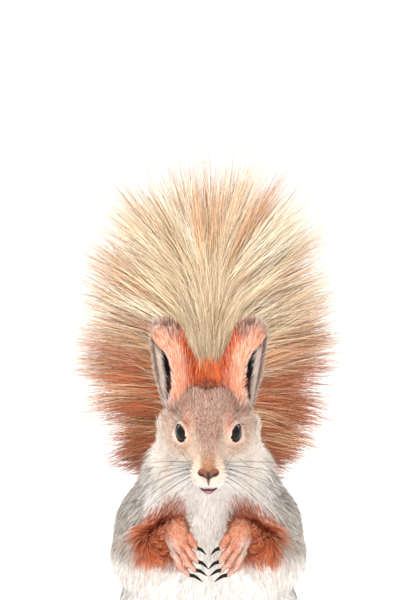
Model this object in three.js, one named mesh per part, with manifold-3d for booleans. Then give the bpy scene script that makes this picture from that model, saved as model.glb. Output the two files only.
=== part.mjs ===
// A life-size red squirrel (Sciurus vulgaris) sitting up on its haunches, with its forepaws held together
// under its chin and its bushy tail raised and fanned behind its head. Millimetres, +Z up; the animal faces -Y,
// and its own left side is +X. The surfaces are those of the coat, out to the tips of the hair.
import * as THREE from "three";
import { mergeVertices } from "three/addons/utils/BufferGeometryUtils.js";
import Module from "manifold-3d";

const wasm = await Module();
wasm.setup();

// ---------------------------------------------------------------- driving sizes

const GAP = 0.3; // clearance between neighbouring pieces
const HEAD_CENTRE = new THREE.Vector3(0, -26.5, 148.7);
const HEAD_PITCH = THREE.MathUtils.degToRad(28); // nose down
const NECK_AXIS = new THREE.Vector3(0, -0.591, 0.807).normalize();
const NECK_TOP = new THREE.Vector3(0, -11, 133); // a point of the cut between head and neck
const NECK_LENGTH = 12;

const EYE_RADIUS = 5.3;
const EYE_CENTRE = new THREE.Vector3(9.7, -7.2, 3.4); // in the head's frame, as every head size is
const EYE_YAW = THREE.MathUtils.degToRad(60); // sideways from straight ahead
const LID_THICKNESS = 1.0;
const EYE_OPENING = { halfLength: 4.9, halfHeight: 4.5 };

const EAR_HEIGHT = 41; // from its root inside the head to its tip
const EAR_RADIUS = 9.2; // of the cup at its widest
const EAR_WALL = 1.9; // skin and short fur

const TAIL_TIP_HAIR = 66; // length of the hair past the end of the bone
const TAIL_LOCK_SPACING = 9.4; // between the tips of neighbouring locks in the fan
const TAIL_LOCK_WIDTH = 13.5;
const LOCK_THICKNESS = 1.3;
const RANDOM_SEED = 11;

// ---------------------------------------------------------------- small helpers

const vec = (x, y, z) => new THREE.Vector3(x, y, z);
const degrees = THREE.MathUtils.degToRad;
const lerp = THREE.MathUtils.lerp;

/** Value at `t` of a smooth curve through [t, value] pairs. */
function profile(pairs, t) {
  const last = pairs.length - 1;
  if (t <= pairs[0][0]) return pairs[0][1];
  if (t >= pairs[last][0]) return pairs[last][1];
  const i = pairs.findIndex(([at]) => at > t) - 1;
  const share = THREE.MathUtils.smoothstep(t, pairs[i][0], pairs[i + 1][0]);
  return lerp(pairs[i][1], pairs[i + 1][1], share);
}

/** A seeded random number maker, from 0 to 1. */
function seededRandom(seed) {
  let state = seed >>> 0;
  return () => {
    state = (Math.imul(state, 1664525) + 1013904223) >>> 0;
    return state / 4294967296;
  };
}

/** A point given in the head's frame (x to its left, y back, z to its crown) as a point of the part. */
const headPoint = (local) =>
  local
    .clone()
    .applyAxisAngle(vec(1, 0, 0), HEAD_PITCH)
    .add(HEAD_CENTRE);
const headDirection = (local) => local.clone().applyAxisAngle(vec(1, 0, 0), HEAD_PITCH);

// ---------------------------------------------------------------- fields: under 0 inside, in millimetres

const offset = new THREE.Vector3();

/** An ellipsoid, tipped about X so that a positive tilt lowers its front. */
function ellipsoid(centre, radii, tilt = 0) {
  const c = Math.cos(tilt);
  const s = Math.sin(tilt);
  return (p) => {
    const x = p.x - centre.x;
    const dy = p.y - centre.y;
    const dz = p.z - centre.z;
    const y = dy * c + dz * s;
    const z = dz * c - dy * s;
    const near = Math.hypot(x / radii.x, y / radii.y, z / radii.z);
    const slope = Math.hypot(x / radii.x ** 2, y / radii.y ** 2, z / radii.z ** 2);
    return slope < 1e-9 ? -Math.min(radii.x, radii.y, radii.z) : (near * (near - 1)) / slope;
  };
}

/** A round bar from a to b whose radius runs from ra to rb. */
function bar(a, b, ra, rb) {
  const along = b.clone().sub(a);
  const lengthSquared = along.lengthSq();
  return (p) => {
    offset.subVectors(p, a);
    const t = THREE.MathUtils.clamp(offset.dot(along) / lengthSquared, 0, 1);
    return offset.addScaledVector(along, -t).length() - lerp(ra, rb, t);
  };
}

/** Joins fields with a fillet of about k. */
const blend = (k, fields) => (p) =>
  fields.reduce((a, field) => {
    const b = field(p);
    const h = Math.max(k - Math.abs(a - b), 0) / k;
    return Math.min(a, b) - h * h * k * 0.25;
  }, 1e3);

/** Reads a field of the left side on both sides. */
const bothSides = (field) => {
  const q = new THREE.Vector3();
  return (p) => field(q.set(Math.abs(p.x), p.y, p.z));
};

// ---------------------------------------------------------------- meshes and solids

/** A closed surface through rings of equally many points, with a point at each end. Its two sides are split
 * into triangles as mirror images, so that a mirrored piece meets it in the same way on both sides. */
function closeRings(rings, startPoint, endPoint) {
  const count = rings[0].length;
  const points = [startPoint, ...rings.flat(), endPoint];
  const index = [];
  const at = (ring, k) => 1 + ring * count + (k % count);
  for (let k = 0; k < count; k++) {
    index.push(0, at(0, k + 1), at(0, k));
    const onLeft = Math.cos((2 * Math.PI * (k + 0.5)) / count) > 0;
    for (let ring = 0; ring + 1 < rings.length; ring++) {
      const [a, b, c, d] = [at(ring, k), at(ring, k + 1), at(ring + 1, k), at(ring + 1, k + 1)];
      index.push(...(onLeft ? [a, b, c, b, d, c] : [a, b, d, a, d, c]));
    }
    index.push(points.length - 1, at(rings.length - 1, k), at(rings.length - 1, k + 1));
  }
  let volume = 0;
  for (let i = 0; i < index.length; i += 3) {
    const [a, b, c] = [points[index[i]], points[index[i + 1]], points[index[i + 2]]];
    volume += offset.crossVectors(b, c).dot(a);
  }
  if (volume < 0) index.reverse();
  const geometry = new THREE.BufferGeometry().setFromPoints(points);
  geometry.setIndex(index);
  return geometry;
}

/** A geometry as a manifold-3d solid. */
function toSolid(geometry) {
  const bare = geometry.clone();
  bare.deleteAttribute("normal");
  bare.deleteAttribute("uv");
  const merged = mergeVertices(bare, 1e-4);
  return new wasm.Manifold(
    new wasm.Mesh({
      numProp: 3,
      vertProperties: merged.getAttribute("position").array,
      triVerts: new Uint32Array(merged.index.array),
    }),
  );
}

/** A solid's largest closed surface as a geometry, without edges shorter than a hundredth of a millimetre. */
function toGeometry(solid) {
  const largest = solid
    .simplify(0.01)
    .decompose()
    .reduce((a, b) => (a.volume() > b.volume() ? a : b));
  const mesh = largest.getMesh();
  return new THREE.BufferGeometry()
    .setAttribute("position", new THREE.BufferAttribute(mesh.vertProperties, 3))
    .setIndex(new THREE.BufferAttribute(mesh.triVerts, 1));
}

const join = (solids) => wasm.Manifold.union(solids);

/** A solid made fatter on every side by about the gap between pieces, as a cutter for its neighbours. */
function fattened(solid) {
  const by = 1.6 * GAP;
  const shifts = [[by, 0, 0], [-by, 0, 0], [0, by, 0], [0, -by, 0], [0, 0, by], [0, 0, -by]];
  return join([solid, ...shifts.map((shift) => solid.translate(shift))]);
}

/** The mirror image of a solid in the animal's middle plane. */
function mirrored(solid) {
  const geometry = toGeometry(solid);
  geometry.scale(-1, 1, 1);
  geometry.setIndex([...geometry.index.array].reverse());
  return toSolid(geometry);
}

/** Where a ray from `from` leaves the field's surface at `level`, or its point at `reach`. */
function surfacePoint(field, level, from, direction, reach) {
  const p = new THREE.Vector3();
  const step = reach / 48;
  let out = step;
  while (out < reach && field(p.copy(from).addScaledVector(direction, out)) < level) out += step;
  let low = out - step;
  let high = Math.min(out, reach);
  for (let i = 0; i < 14; i++) {
    const middle = (low + high) / 2;
    if (field(p.copy(from).addScaledVector(direction, middle)) < level) low = middle;
    else high = middle;
  }
  return from.clone().addScaledVector(direction, high);
}

/** Wraps a closed surface on a field: rings of spokes stand out from a spine in the animal's middle plane. */
function wrap(field, level, { spine, rings, caps, spokes, reach, spokeShift = 0 }) {
  const side = vec(1, 0, 0);
  const made = [];
  const ringAt = (centre, tangent, lean) => {
    const upright = vec(0, 0, 0).crossVectors(tangent, side);
    return Array.from({ length: spokes }, (_, k) => {
      const turn = (2 * Math.PI * (k + spokeShift)) / spokes;
      const direction = side
        .clone()
        .multiplyScalar(Math.cos(turn))
        .addScaledVector(upright, Math.sin(turn))
        .multiplyScalar(Math.cos(lean))
        .addScaledVector(tangent, Math.sin(lean));
      return surfacePoint(field, level, centre, direction, reach);
    });
  };
  const [start, end] = [spine.getPoint(0), spine.getPoint(1)];
  const [startTangent, endTangent] = [spine.getTangent(0), spine.getTangent(1)];
  for (let i = 1; i <= caps; i++)
    made.push(ringAt(start, startTangent, (Math.PI / 2) * (i / (caps + 1) - 1)));
  for (let i = 0; i <= rings; i++)
    made.push(ringAt(spine.getPoint(i / rings), spine.getTangent(i / rings), 0));
  for (let i = 1; i <= caps; i++) made.push(ringAt(end, endTangent, (Math.PI / 2) * (i / (caps + 1))));
  return toSolid(
    closeRings(
      made,
      surfacePoint(field, level, start, startTangent.clone().negate(), reach),
      surfacePoint(field, level, end, endTangent, reach),
    ),
  );
}

/** A tube through points, with a radius at each, flattened across `flatAlong` by `flatness`. */
function tube(points, radii, { sides = 8, grow = 0, flatAlong = null, flatness = 1 } = {}) {
  const rings = points.map((centre, i) => {
    const ahead = points[Math.min(i + 1, points.length - 1)];
    const behind = points[Math.max(i - 1, 0)];
    const tangent = ahead.clone().sub(behind).normalize();
    const hint = flatAlong ?? (Math.abs(tangent.z) < 0.9 ? vec(0, 0, 1) : vec(0, 1, 0));
    const normal = hint.clone().addScaledVector(tangent, -hint.dot(tangent)).normalize();
    const across = tangent.clone().cross(normal);
    return Array.from({ length: sides }, (_, k) => {
      const turn = (2 * Math.PI * (k + 0.5)) / sides;
      return centre
        .clone()
        .addScaledVector(across, Math.cos(turn) * (radii[i] + grow))
        .addScaledVector(normal, Math.sin(turn) * (radii[i] * flatness + grow));
    });
  });
  const endCap = (i, j) => {
    const outward = points[i].clone().sub(points[j]).normalize();
    return points[i].clone().addScaledVector(outward, radii[i] * 0.55 + grow);
  };
  return toSolid(closeRings(rings, endCap(0, 1), endCap(points.length - 1, points.length - 2)));
}

/** A ball with three radii, in the head's frame or the part's. */
function ball(centre, radii, { widthSegments = 16, heightSegments = 10, inHead = false } = {}) {
  const geometry = new THREE.SphereGeometry(1, widthSegments, heightSegments);
  geometry.scale(radii.x, radii.y, radii.z);
  if (inHead) geometry.rotateX(HEAD_PITCH);
  const at = inHead ? headPoint(centre) : centre;
  geometry.translate(at.x, at.y, at.z);
  return toSolid(geometry);
}

// ---------------------------------------------------------------- the animal's form as one field

const headEllipsoid = (centre, radii) => ellipsoid(headPoint(centre), radii, -HEAD_PITCH);
const headBar = (a, b, ra, rb) => bar(headPoint(a), headPoint(b), ra, rb);

const headForm = bothSides(
  blend(5, [
    headEllipsoid(vec(0, 6.5, 3), vec(16.5, 19.5, 15.5)), // cranium
    headEllipsoid(vec(0, 13.5, 14.5), vec(10.5, 7.5, 12)), // upright fur between the ears
    headEllipsoid(vec(0, -4.5, 4), vec(12.8, 13, 11)), // forehead
    headBar(vec(0, -8, -4), vec(0, -22.5, -7), 11.5, 5.6), // muzzle
    headBar(vec(0, -10, 2.5), vec(0, -25.6, -2.4), 6.5, 3.3), // bridge of the nose
    headEllipsoid(vec(4, -22, -10.2), vec(4.8, 6.2, 5.2)), // whisker pad
    headEllipsoid(vec(11, -2, -7.5), vec(9, 12, 9)), // cheek
    headEllipsoid(vec(12.5, 7, -6), vec(11, 13, 13.5)), // long fur behind the cheek
    headBar(vec(0, -2, -12), vec(0, -22, -15.2), 9.5, 4.1), // jaw
  ]),
);

const neckForm = bar(vec(0, 3, 110), vec(0, -14, 140), 32, 21);

const trunkForm = bothSides(
  blend(10, [
    neckForm,
    ellipsoid(vec(0, 4, 98), vec(36, 31, 30)), // chest
    ellipsoid(vec(0, 6, 66), vec(41, 39, 40)), // belly
    ellipsoid(vec(0, 17, 36), vec(38, 36, 38.6)), // rump
    ellipsoid(vec(27, 0, 104), vec(15.5, 19, 24)), // shoulder
    bar(vec(31, -2, 100), vec(32, -9, 84), 13.5, 12), // upper arm down to the elbow
    ellipsoid(vec(29, -3, 35), vec(20.5, 35, 32)), // haunch
    bar(vec(29, -24, 40), vec(27, -10, 12), 13, 9), // folded shank
  ]),
);

const wholeForm = blend(9, [trunkForm, headForm]);

// ---------------------------------------------------------------- trunk, neck, head

const trunkSpine = new THREE.CatmullRomCurve3([
  vec(0, 17, 26),
  vec(0, 11, 55),
  vec(0, 5, 88),
  vec(0, -4, 118),
  vec(0, -18, 142),
]);
const trunkMesh = { spine: trunkSpine, rings: 16, caps: 4, spokes: 24, reach: 75 };
const headSpine = new THREE.LineCurve3(headPoint(vec(0, 9, 0)), headPoint(vec(0, -22, -7)));
const headMesh = { spine: headSpine, rings: 15, caps: 5, spokes: 28, reach: 34 };

const aboveFloor = (solid) => solid.trimByPlane([0, 0, 1], 0);
const planeAt = (point) => NECK_AXIS.dot(point);
const headCut = planeAt(NECK_TOP);
const neckCut = headCut - NECK_LENGTH;
const axis = NECK_AXIS.toArray();
const axisDown = NECK_AXIS.clone().negate().toArray();

const whole = wrap(wholeForm, 0, trunkMesh);
const wholeGrown = fattened(whole);
const neck = whole.trimByPlane(axis, neckCut + GAP / 2).trimByPlane(axisDown, -headCut + GAP / 2);
const trunk = aboveFloor(whole.trimByPlane(axisDown, -neckCut + GAP / 2));

// ---------------------------------------------------------------- eyes, lids, nose and mouth

const eyeLook = vec(Math.sin(EYE_YAW), -Math.cos(EYE_YAW), 0.2).normalize();
const eyeBall = (radius) =>
  ball(EYE_CENTRE, vec(radius, radius, radius), { widthSegments: 13, heightSegments: 9, inHead: true });

/** The almond opening between the lids: an elliptical bar along the eye's look. */
function lidOpening() {
  const steps = 16;
  const up = vec(0, 0, 1);
  const across = eyeLook.clone().cross(up).normalize();
  const lidUp = across.clone().cross(eyeLook).normalize();
  const ring = (reach, scale) =>
    Array.from({ length: steps }, (_, k) => {
      const turn = (2 * Math.PI * k) / steps;
      const pinch = 1 - 0.12 * Math.cos(turn) ** 2;
      return headPoint(
        EYE_CENTRE.clone()
          .addScaledVector(eyeLook, reach)
          .addScaledVector(across, Math.cos(turn) * EYE_OPENING.halfLength * scale)
          .addScaledVector(lidUp, Math.sin(turn) * EYE_OPENING.halfHeight * scale * pinch),
      );
    });
  const middle = (reach) => headPoint(EYE_CENTRE.clone().addScaledVector(eyeLook, reach));
  return toSolid(closeRings([ring(1.5, 0.9), ring(4, 0.92), ring(12, 1.25)], middle(1.5), middle(12)));
}

const nosePad = ball(vec(0, -28.0, -4.0), vec(4.1, 3.0, 3.4), { widthSegments: 13, heightSegments: 9, inHead: true });
const nostril = ball(vec(2.3, -30.4, -5.4), vec(0.75, 1.4, 1.0), {
  widthSegments: 8,
  heightSegments: 6,
  inHead: true,
});

const mouthCurve = [
  [0, -27.6, -14.4],
  [2.6, -26.8, -15.0],
  [5.2, -23.6, -14.8],
  [7.2, -18.6, -14.2],
];
const mouthLine = (radius) => {
  const half = mouthCurve.map(([x, y, z]) => vec(x, y, z));
  const full = [...half.slice(1).reverse().map((p) => vec(-p.x, p.y, p.z)), ...half].map(headPoint);
  return tube(full, full.map(() => radius), { sides: 5 });
};
const philtrum = tube(
  [headPoint(vec(0, -30.4, -7.2)), headPoint(vec(0, -28.6, -14.2))],
  [0.55, 0.55],
  { sides: 6 },
);
const lowerLip = tube(
  [vec(-3.8, -23.4, -16.0), vec(0, -25.3, -16.4), vec(3.8, -23.4, -16.0)].map(headPoint),
  [1.0, 1.5, 1.0],
  { sides: 8 },
);

const skull = wrap(wholeForm, 0, headMesh).trimByPlane(axis, headCut + GAP / 2);
const skullGrown = fattened(skull);

function makeHead() {
  const lids = eyeBall(EYE_RADIUS + LID_THICKNESS);
  const sockets = [eyeBall(EYE_RADIUS + GAP), lidOpening()];
  const flesh = join([
    skull,
    lids,
    mirrored(lids),
    nosePad,
    lowerLip,
  ]);
  const cuts = [...sockets, ...sockets.map(mirrored), nostril, mirrored(nostril), mouthLine(0.6), philtrum];
  return flesh.subtract(join(cuts));
}

// ---------------------------------------------------------------- ears

/** A cupped ear: crescents stacked from its root to its tip, open towards the side. */
function earCup() {
  const stations = 11;
  const arcPoints = 8;
  const lean = vec(0.24, 0.42, 0.9).normalize();
  const root = vec(14.2, 8.5, 6);
  const openingYaw = degrees(72);
  const ring = (t) => {
    const radius = EAR_RADIUS * profile([[0, 0.8], [0.32, 1], [0.6, 0.87], [0.85, 0.54], [1, 0.22]], t);
    const wall = EAR_WALL * profile([[0, 1], [0.7, 1], [1, 0.55]], t);
    const spread = degrees(profile([[0, 150], [0.4, 142], [0.75, 120], [1, 85]], t));
    const centre = root.clone().addScaledVector(lean, t * EAR_HEIGHT);
    const around = (angle, r) => {
      const yaw = openingYaw + Math.PI + angle;
      return headPoint(centre.clone().add(vec(Math.sin(yaw) * r, -Math.cos(yaw) * r * 1.05, 0)));
    };
    const outer = Array.from({ length: arcPoints }, (_, k) =>
      around(lerp(-spread, spread, k / (arcPoints - 1)), radius),
    );
    const inner = Array.from({ length: arcPoints }, (_, k) =>
      around(lerp(spread, -spread, k / (arcPoints - 1)) * 0.97, Math.max(radius - wall, radius * 0.35)),
    );
    return { points: [...outer, ...inner], middle: around(0, radius - wall / 2) };
  };
  const rings = Array.from({ length: stations }, (_, i) => ring(i / (stations - 1)));
  const tip = rings[stations - 1].middle.clone().addScaledVector(headDirection(lean), 1.2);
  return toSolid(closeRings(rings.map((r) => r.points), rings[0].middle, tip));
}

// ---------------------------------------------------------------- forelegs

const elbow = vec(31, -12, 84);
const wrist = vec(14.6, -44.5, 106);
const foreArm = (grow) =>
  tube(
    [vec(32, -4, 84), elbow, vec(27, -26, 91), vec(19.5, -38.5, 101), wrist],
    [9, 10.8, 10.2, 7.6, 5.6],
    { sides: 14, grow },
  );

/** One digit with its claw: knuckle, middle joint, claw root, and the claw's tip. */
function digit(knuckle, joint, clawRoot, clawTip, radius) {
  const clawMiddle = clawRoot.clone().lerp(clawTip, 0.5).add(vec(0, -0.35, 0.45));
  const toe = tube([knuckle, joint, clawRoot], [radius, radius * 1.05, radius * 0.8], { sides: 5 });
  const claw = tube(
    [joint.clone().lerp(clawRoot, 0.7), clawRoot, clawMiddle, clawTip],
    [radius * 0.42, radius * 0.54, radius * 0.4, 0.16],
    { sides: 4 },
  );
  return join([toe, claw]);
}

const FINGER_RADIUS = 1.75;
const fingers = [
  [vec(9.2, -49.5, 101.5), vec(6.6, -53, 99.2), vec(4.6, -54.2, 97.6), vec(1.4, -54.4, 96.0)],
  [vec(10.8, -51, 98.2), vec(7.4, -54.8, 95), vec(4.9, -56, 93), vec(1.1, -56, 90.6)],
  [vec(12.8, -51, 95.6), vec(9.4, -54.8, 91.6), vec(6.4, -55.6, 89.2), vec(2.2, -55.4, 87.4)],
  [vec(15.2, -49.5, 94.4), vec(12.6, -53, 89.4), vec(9.4, -53.8, 86.6), vec(4.6, -53.6, 84.6)],
];

function makeForepaw() {
  const palm = tube(
    [wrist.clone().add(vec(0.6, 4, 0.5)), wrist, vec(14.2, -48.4, 102.2), vec(13.2, -50.2, 97.4)],
    [4.8, 5.2, 6.3, 6.0],
    { sides: 10, flatAlong: vec(0, -1, 0.35).normalize(), flatness: 0.62 },
  );
  return join([palm, ...fingers.map((joints) => digit(...joints, FINGER_RADIUS))]);
}

// ---------------------------------------------------------------- hind legs

const FOOT_LENGTH = 50; // heel to the tips of the toes, without claws
const heel = vec(27, 12, 6);
const hindFoot = (grow) =>
  tube(
    [heel, vec(27.5, 2, 6.4), vec(28, -14, 6.4), vec(29, -27, 5.2)],
    [5.8, 6.6, 7, 6.6],
    { sides: 10, grow, flatAlong: vec(0, 0, 1), flatness: 0.95 },
  );

function makeHindFoot() {
  const toeSpread = [-1, -0.52, 0, 0.52, 1];
  const toes = toeSpread.map((share) => {
    const reach = 12 + 4 * (1 - share * share);
    const x = 29.5 + share * 5.6;
    const knuckle = vec(29 + share * 4.6, -26, 4.2);
    const joint = vec(x + share * 1.2, -26 - reach * 0.5, 3.6);
    const clawRoot = vec(x + share * 2.2, -26 - reach, 2.2);
    const clawTip = vec(x + share * 2.6, -26 - reach - 5, 0.9);
    return digit(knuckle, joint, clawRoot, clawTip, 2.1);
  });
  return aboveFloor(join([hindFoot(0), ...toes]));
}

const HAUNCH_CUT = { centre: vec(36, -4, 33), radii: vec(27, 41, 35) };
const haunchCutter = (grow) => ball(HAUNCH_CUT.centre, HAUNCH_CUT.radii.clone().addScalar(grow));
const upperArmCutter = (grow) =>
  tube([vec(34, 3, 122), vec(36, 0, 108), vec(36, -5, 92), vec(35, -10, 78)], [11, 15, 15.5, 12], {
    sides: 14,
    grow,
  });

// ---------------------------------------------------------------- tail

const tailBone = new THREE.CatmullRomCurve3([
  vec(0, 42, 17),
  vec(0, 58, 24),
  vec(0, 67, 45),
  vec(0, 66, 75),
  vec(0, 60, 105),
  vec(0, 54, 135),
  vec(0, 51, 165),
  vec(0, 54, 196),
]);
const CORE_HALF_WIDTH = [[0, 9], [0.15, 10.5], [0.4, 13], [0.6, 19], [0.78, 26], [0.9, 25], [1, 19]];
const CORE_HALF_DEPTH = [[0, 10], [0.3, 11], [0.6, 10.5], [0.85, 9.5], [1, 8]];
const CORE_CROWN = 18; // how far the core reaches past the end of the bone

/** The dense underfur about the bone, as a flattened tube. */
function tailCore() {
  const stations = 13;
  const sides = 14;
  const ring = (t, shrink, along) => {
    const centre = tailBone.getPoint(t);
    const tangent = tailBone.getTangent(t);
    const back = tangent.clone().cross(vec(1, 0, 0));
    centre.addScaledVector(tangent, along);
    return Array.from({ length: sides }, (_, k) => {
      const turn = (2 * Math.PI * k) / sides;
      return centre
        .clone()
        .addScaledVector(vec(1, 0, 0), Math.cos(turn) * profile(CORE_HALF_WIDTH, t) * shrink)
        .addScaledVector(back, Math.sin(turn) * profile(CORE_HALF_DEPTH, t) * shrink);
    });
  };
  const rings = Array.from({ length: stations }, (_, i) => ring(i / (stations - 1), 1, 0));
  const crownSteps = 4;
  for (let i = 1; i < crownSteps; i++) {
    const lift = (Math.PI / 2) * (i / crownSteps);
    rings.push(ring(1, Math.cos(lift), Math.sin(lift) * CORE_CROWN));
  }
  const top = tailBone.getPoint(1).addScaledVector(tailBone.getTangent(1), CORE_CROWN);
  return toSolid(closeRings(rings, tailBone.getPoint(0), top));
}

// How the hair stands along the bone: its rise above level and its length from the bone.
const HAIR_RISE = [[0, 30], [0.25, 38], [0.5, 34], [0.64, 12], [0.78, 6], [0.86, 16], [0.94, 38], [1, 64]];
const HAIR_LENGTH = [[0, 24], [0.2, 27], [0.4, 37], [0.55, 48], [0.7, 58], [0.82, 63], [1, 65]];
const CROWN_RISE = [64, 116]; // the hair past the end of the bone, from one side to the other

// The locks stand in three layers: one in the plane of the fan, and one leaning out of it to each side.
const TAIL_LAYERS = [
  { lean: [[0, 0], [1, 0]], lengthShare: 1, spacing: 1, rootShare: 0.7 },
  { lean: [[0, -18], [1, -20]], lengthShare: 0.8, spacing: 1.6, rootShare: 0.48 },
  { lean: [[0, 56], [0.4, 46], [0.62, 24], [1, 20]], lengthShare: 0.86, spacing: 1.6, rootShare: 0.48 },
];

/** One flat, tapered lock of tail hair. It bends along its length and is tipped about its own line. */
function lock({ root, heading, face, length, width, bend, tip }) {
  const steps = 4;
  const rings = [];
  const point = root.clone();
  const direction = heading.clone().normalize();
  for (let i = 0; i <= steps; i++) {
    const t = i / steps;
    const half = (width / 2) * profile([[0, 0.55], [0.5, 1], [0.8, 0.7], [1, 0.08]], t);
    const thick = LOCK_THICKNESS * profile([[0, 1], [0.6, 0.9], [1, 0.35]], t);
    const flat = face.clone().cross(direction).normalize().applyAxisAngle(direction, tip);
    const normal = direction.clone().cross(flat).normalize();
    rings.push([
      point.clone().addScaledVector(flat, half),
      point.clone().addScaledVector(normal, thick),
      point.clone().addScaledVector(flat, -half),
    ]);
    point.addScaledVector(direction, length / steps);
    direction.applyAxisAngle(face, bend / steps);
  }
  const end = point.clone().addScaledVector(direction, 0.6 - length / steps);
  return toSolid(closeRings(rings, root.clone().addScaledVector(heading, -0.4), end));
}

/** Every lock of the tail, each with the share of the bone's length that it grows from. */
function tailLocks() {
  const random = seededRandom(RANDOM_SEED);
  const vary = (spread) => (random() * 2 - 1) * spread;
  const made = [];
  const add = (layer, t, side, rise, length) => {
    const tangent = tailBone.getTangent(t);
    const back = tangent.clone().cross(vec(1, 0, 0));
    const lean = degrees(profile(layer.lean, t) + vary(4));
    const heading = vec(side * Math.cos(rise), 0, 0)
      .addScaledVector(tangent, Math.sin(rise))
      .multiplyScalar(Math.cos(lean))
      .addScaledVector(back, Math.sin(lean))
      .addScaledVector(tangent, lean * lean)
      .normalize();
    const sunk = layer.rootShare * profile(CORE_HALF_WIDTH, t);
    const solid = lock({
      root: tailBone.getPoint(t).addScaledVector(heading, sunk),
      heading,
      face: back,
      length: length * layer.lengthShare * (1 + vary(0.08)) - sunk,
      width: TAIL_LOCK_WIDTH * profile([[0, 0.65], [0.4, 0.75], [0.7, 1], [1, 1]], t) * (1 + vary(0.12)),
      bend: degrees(side * (6 + vary(4))),
      tip: degrees(21 + vary(4)),
    });
    made.push({ t, solid });
  };
  for (const layer of TAIL_LAYERS) {
    const spacing = TAIL_LOCK_SPACING * layer.spacing;
    for (const side of [-1, 1]) {
      for (let t = 0.12 + random() * 0.03; t < 1; ) {
        const rise = profile(HAIR_RISE, t);
        const length = profile(HAIR_LENGTH, t);
        add(layer, t, side, degrees(rise + vary(2.5)), length);
        const turn = degrees(profile(HAIR_RISE, t + 0.01) - rise) / 0.01;
        t += spacing / (tailBone.getLength() + Math.max(turn, 0) * length);
      }
    }
    const crownAngle = degrees(CROWN_RISE[1] - CROWN_RISE[0]);
    const crownSteps = Math.round((crownAngle * TAIL_TIP_HAIR) / spacing);
    for (let i = 0; i <= crownSteps; i++) {
      const rise = lerp(CROWN_RISE[0], CROWN_RISE[1], i / crownSteps);
      add(layer, 1, Math.sign(90 - rise) || 1, degrees(Math.min(rise, 180 - rise)), TAIL_TIP_HAIR);
    }
  }
  return made;
}

/** The prism over the bone that holds one length of the tail: its ends follow the lie of the hair. */
function tailRegion(from, to) {
  const far = 85;
  const depth = 200;
  const edge = (t, shift) => {
    const at = tailBone.getPoint(t);
    const rise = degrees(profile(HAIR_RISE, t));
    const z = at.z + shift;
    return [
      [-far, z + far * Math.tan(rise)],
      [0, z],
      [far, z + far * Math.tan(rise)],
    ];
  };
  const low = from === null ? [[-far, -5], [far, -5]] : edge(from, GAP / 2);
  const high = to === null ? [[-far, 400], [far, 400]] : edge(to, -GAP / 2);
  const shape = new THREE.Shape([...low, ...high.reverse()].map(([x, z]) => new THREE.Vector2(x, z)));
  const prism = new THREE.ExtrudeGeometry(shape, { depth, bevelEnabled: false });
  prism.rotateX(Math.PI / 2);
  prism.translate(0, depth, 0);
  return toSolid(prism);
}

const TAIL_NODES = { tail_base: [null, 0.42], tail_middle: [0.42, 0.74], tail_fan: [0.74, null] };

function makeTail() {
  const core = tailCore();
  const locks = tailLocks();
  return Object.entries(TAIL_NODES).map(([name, [from, to]]) => {
    const own = locks.filter(({ t }) => t >= (from ?? 0) && t < (to ?? 2)).map(({ solid }) => solid);
    const length = join([core, ...own]).intersect(tailRegion(from, to));
    return [name, aboveFloor(length).subtract(wholeGrown)];
  });
}

// ---------------------------------------------------------------- materials and the assembled animal

const finish = (color, roughness) => new THREE.MeshStandardMaterial({ color, roughness, metalness: 0 });
const materials = {
  grey: finish(0xb9aea6, 0.95),
  white: finish(0xf1ebe2, 0.95),
  rust: finish(0xc8663a, 0.95),
  face: finish(0xb59c8c, 0.95),
  buff: finish(0xd9bd92, 0.95),
  eye: finish(0x0c0a0a, 0.08),
};

const squirrel = new THREE.Group();

function addNode(name, solid, material, mirror = false) {
  const mesh = new THREE.Mesh(toGeometry(solid), material);
  mesh.name = name;
  if (mirror) mesh.scale.x = -1;
  squirrel.add(mesh);
}

function addPair(name, solid, material) {
  addNode(name + "_left", solid, material);
  addNode(name + "_right", solid, material, true);
}

const foot = makeHindFoot();
const footGrown = aboveFloor(join([hindFoot(GAP)]));
const haunch = trunk.intersect(haunchCutter(0)).subtract(footGrown);
const upperArm = trunk.intersect(upperArmCutter(0)).subtract(haunchCutter(GAP));
const partings = [haunchCutter(GAP), upperArmCutter(GAP), footGrown];
const forearm = foreArm(0).subtract(wholeGrown);

addNode("torso", trunk.subtract(join([...partings, ...partings.map(mirrored)])), materials.white);
addNode("neck", neck, materials.grey);
addNode("head", makeHead(), materials.face);
addPair("eye", eyeBall(EYE_RADIUS), materials.eye);
addPair("ear", earCup().subtract(skullGrown), materials.rust);
addPair("upper_arm", upperArm, materials.grey);
addPair("forearm", forearm, materials.rust);
addPair("forepaw", makeForepaw().subtract(join([foreArm(GAP), wholeGrown])), materials.rust);
addPair("haunch", haunch, materials.grey);
addPair("hind_foot", foot, materials.rust);
for (const [name, solid] of makeTail()) addNode(name, solid, materials.buff);

// The origin is on the floor, in the animal's middle plane and half way between its claws and its tail.
const box = new THREE.Box3().setFromObject(squirrel);
squirrel.position.set(0, -box.getCenter(new THREE.Vector3()).y, -box.min.z);

export default squirrel;
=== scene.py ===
"""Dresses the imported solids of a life-size red squirrel (Sciurus vulgaris) that sits up on its haunches.

One skin is drawn from the fields of the animal's form, under the coat's depth. The coat grows from it in
thin, overlapping tufts, and the eyes, nose, lips, whiskers and claws are pieces of their own. Every place
and size in the forms, the markings and the coat is in millimetres, in the frame that the forms are named in,
and is placed in metres. Colours are sRGB hex.
"""

import logging
import math
from collections.abc import Callable, Sequence
from dataclasses import dataclass, field, replace
from enum import Enum
from functools import reduce

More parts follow.
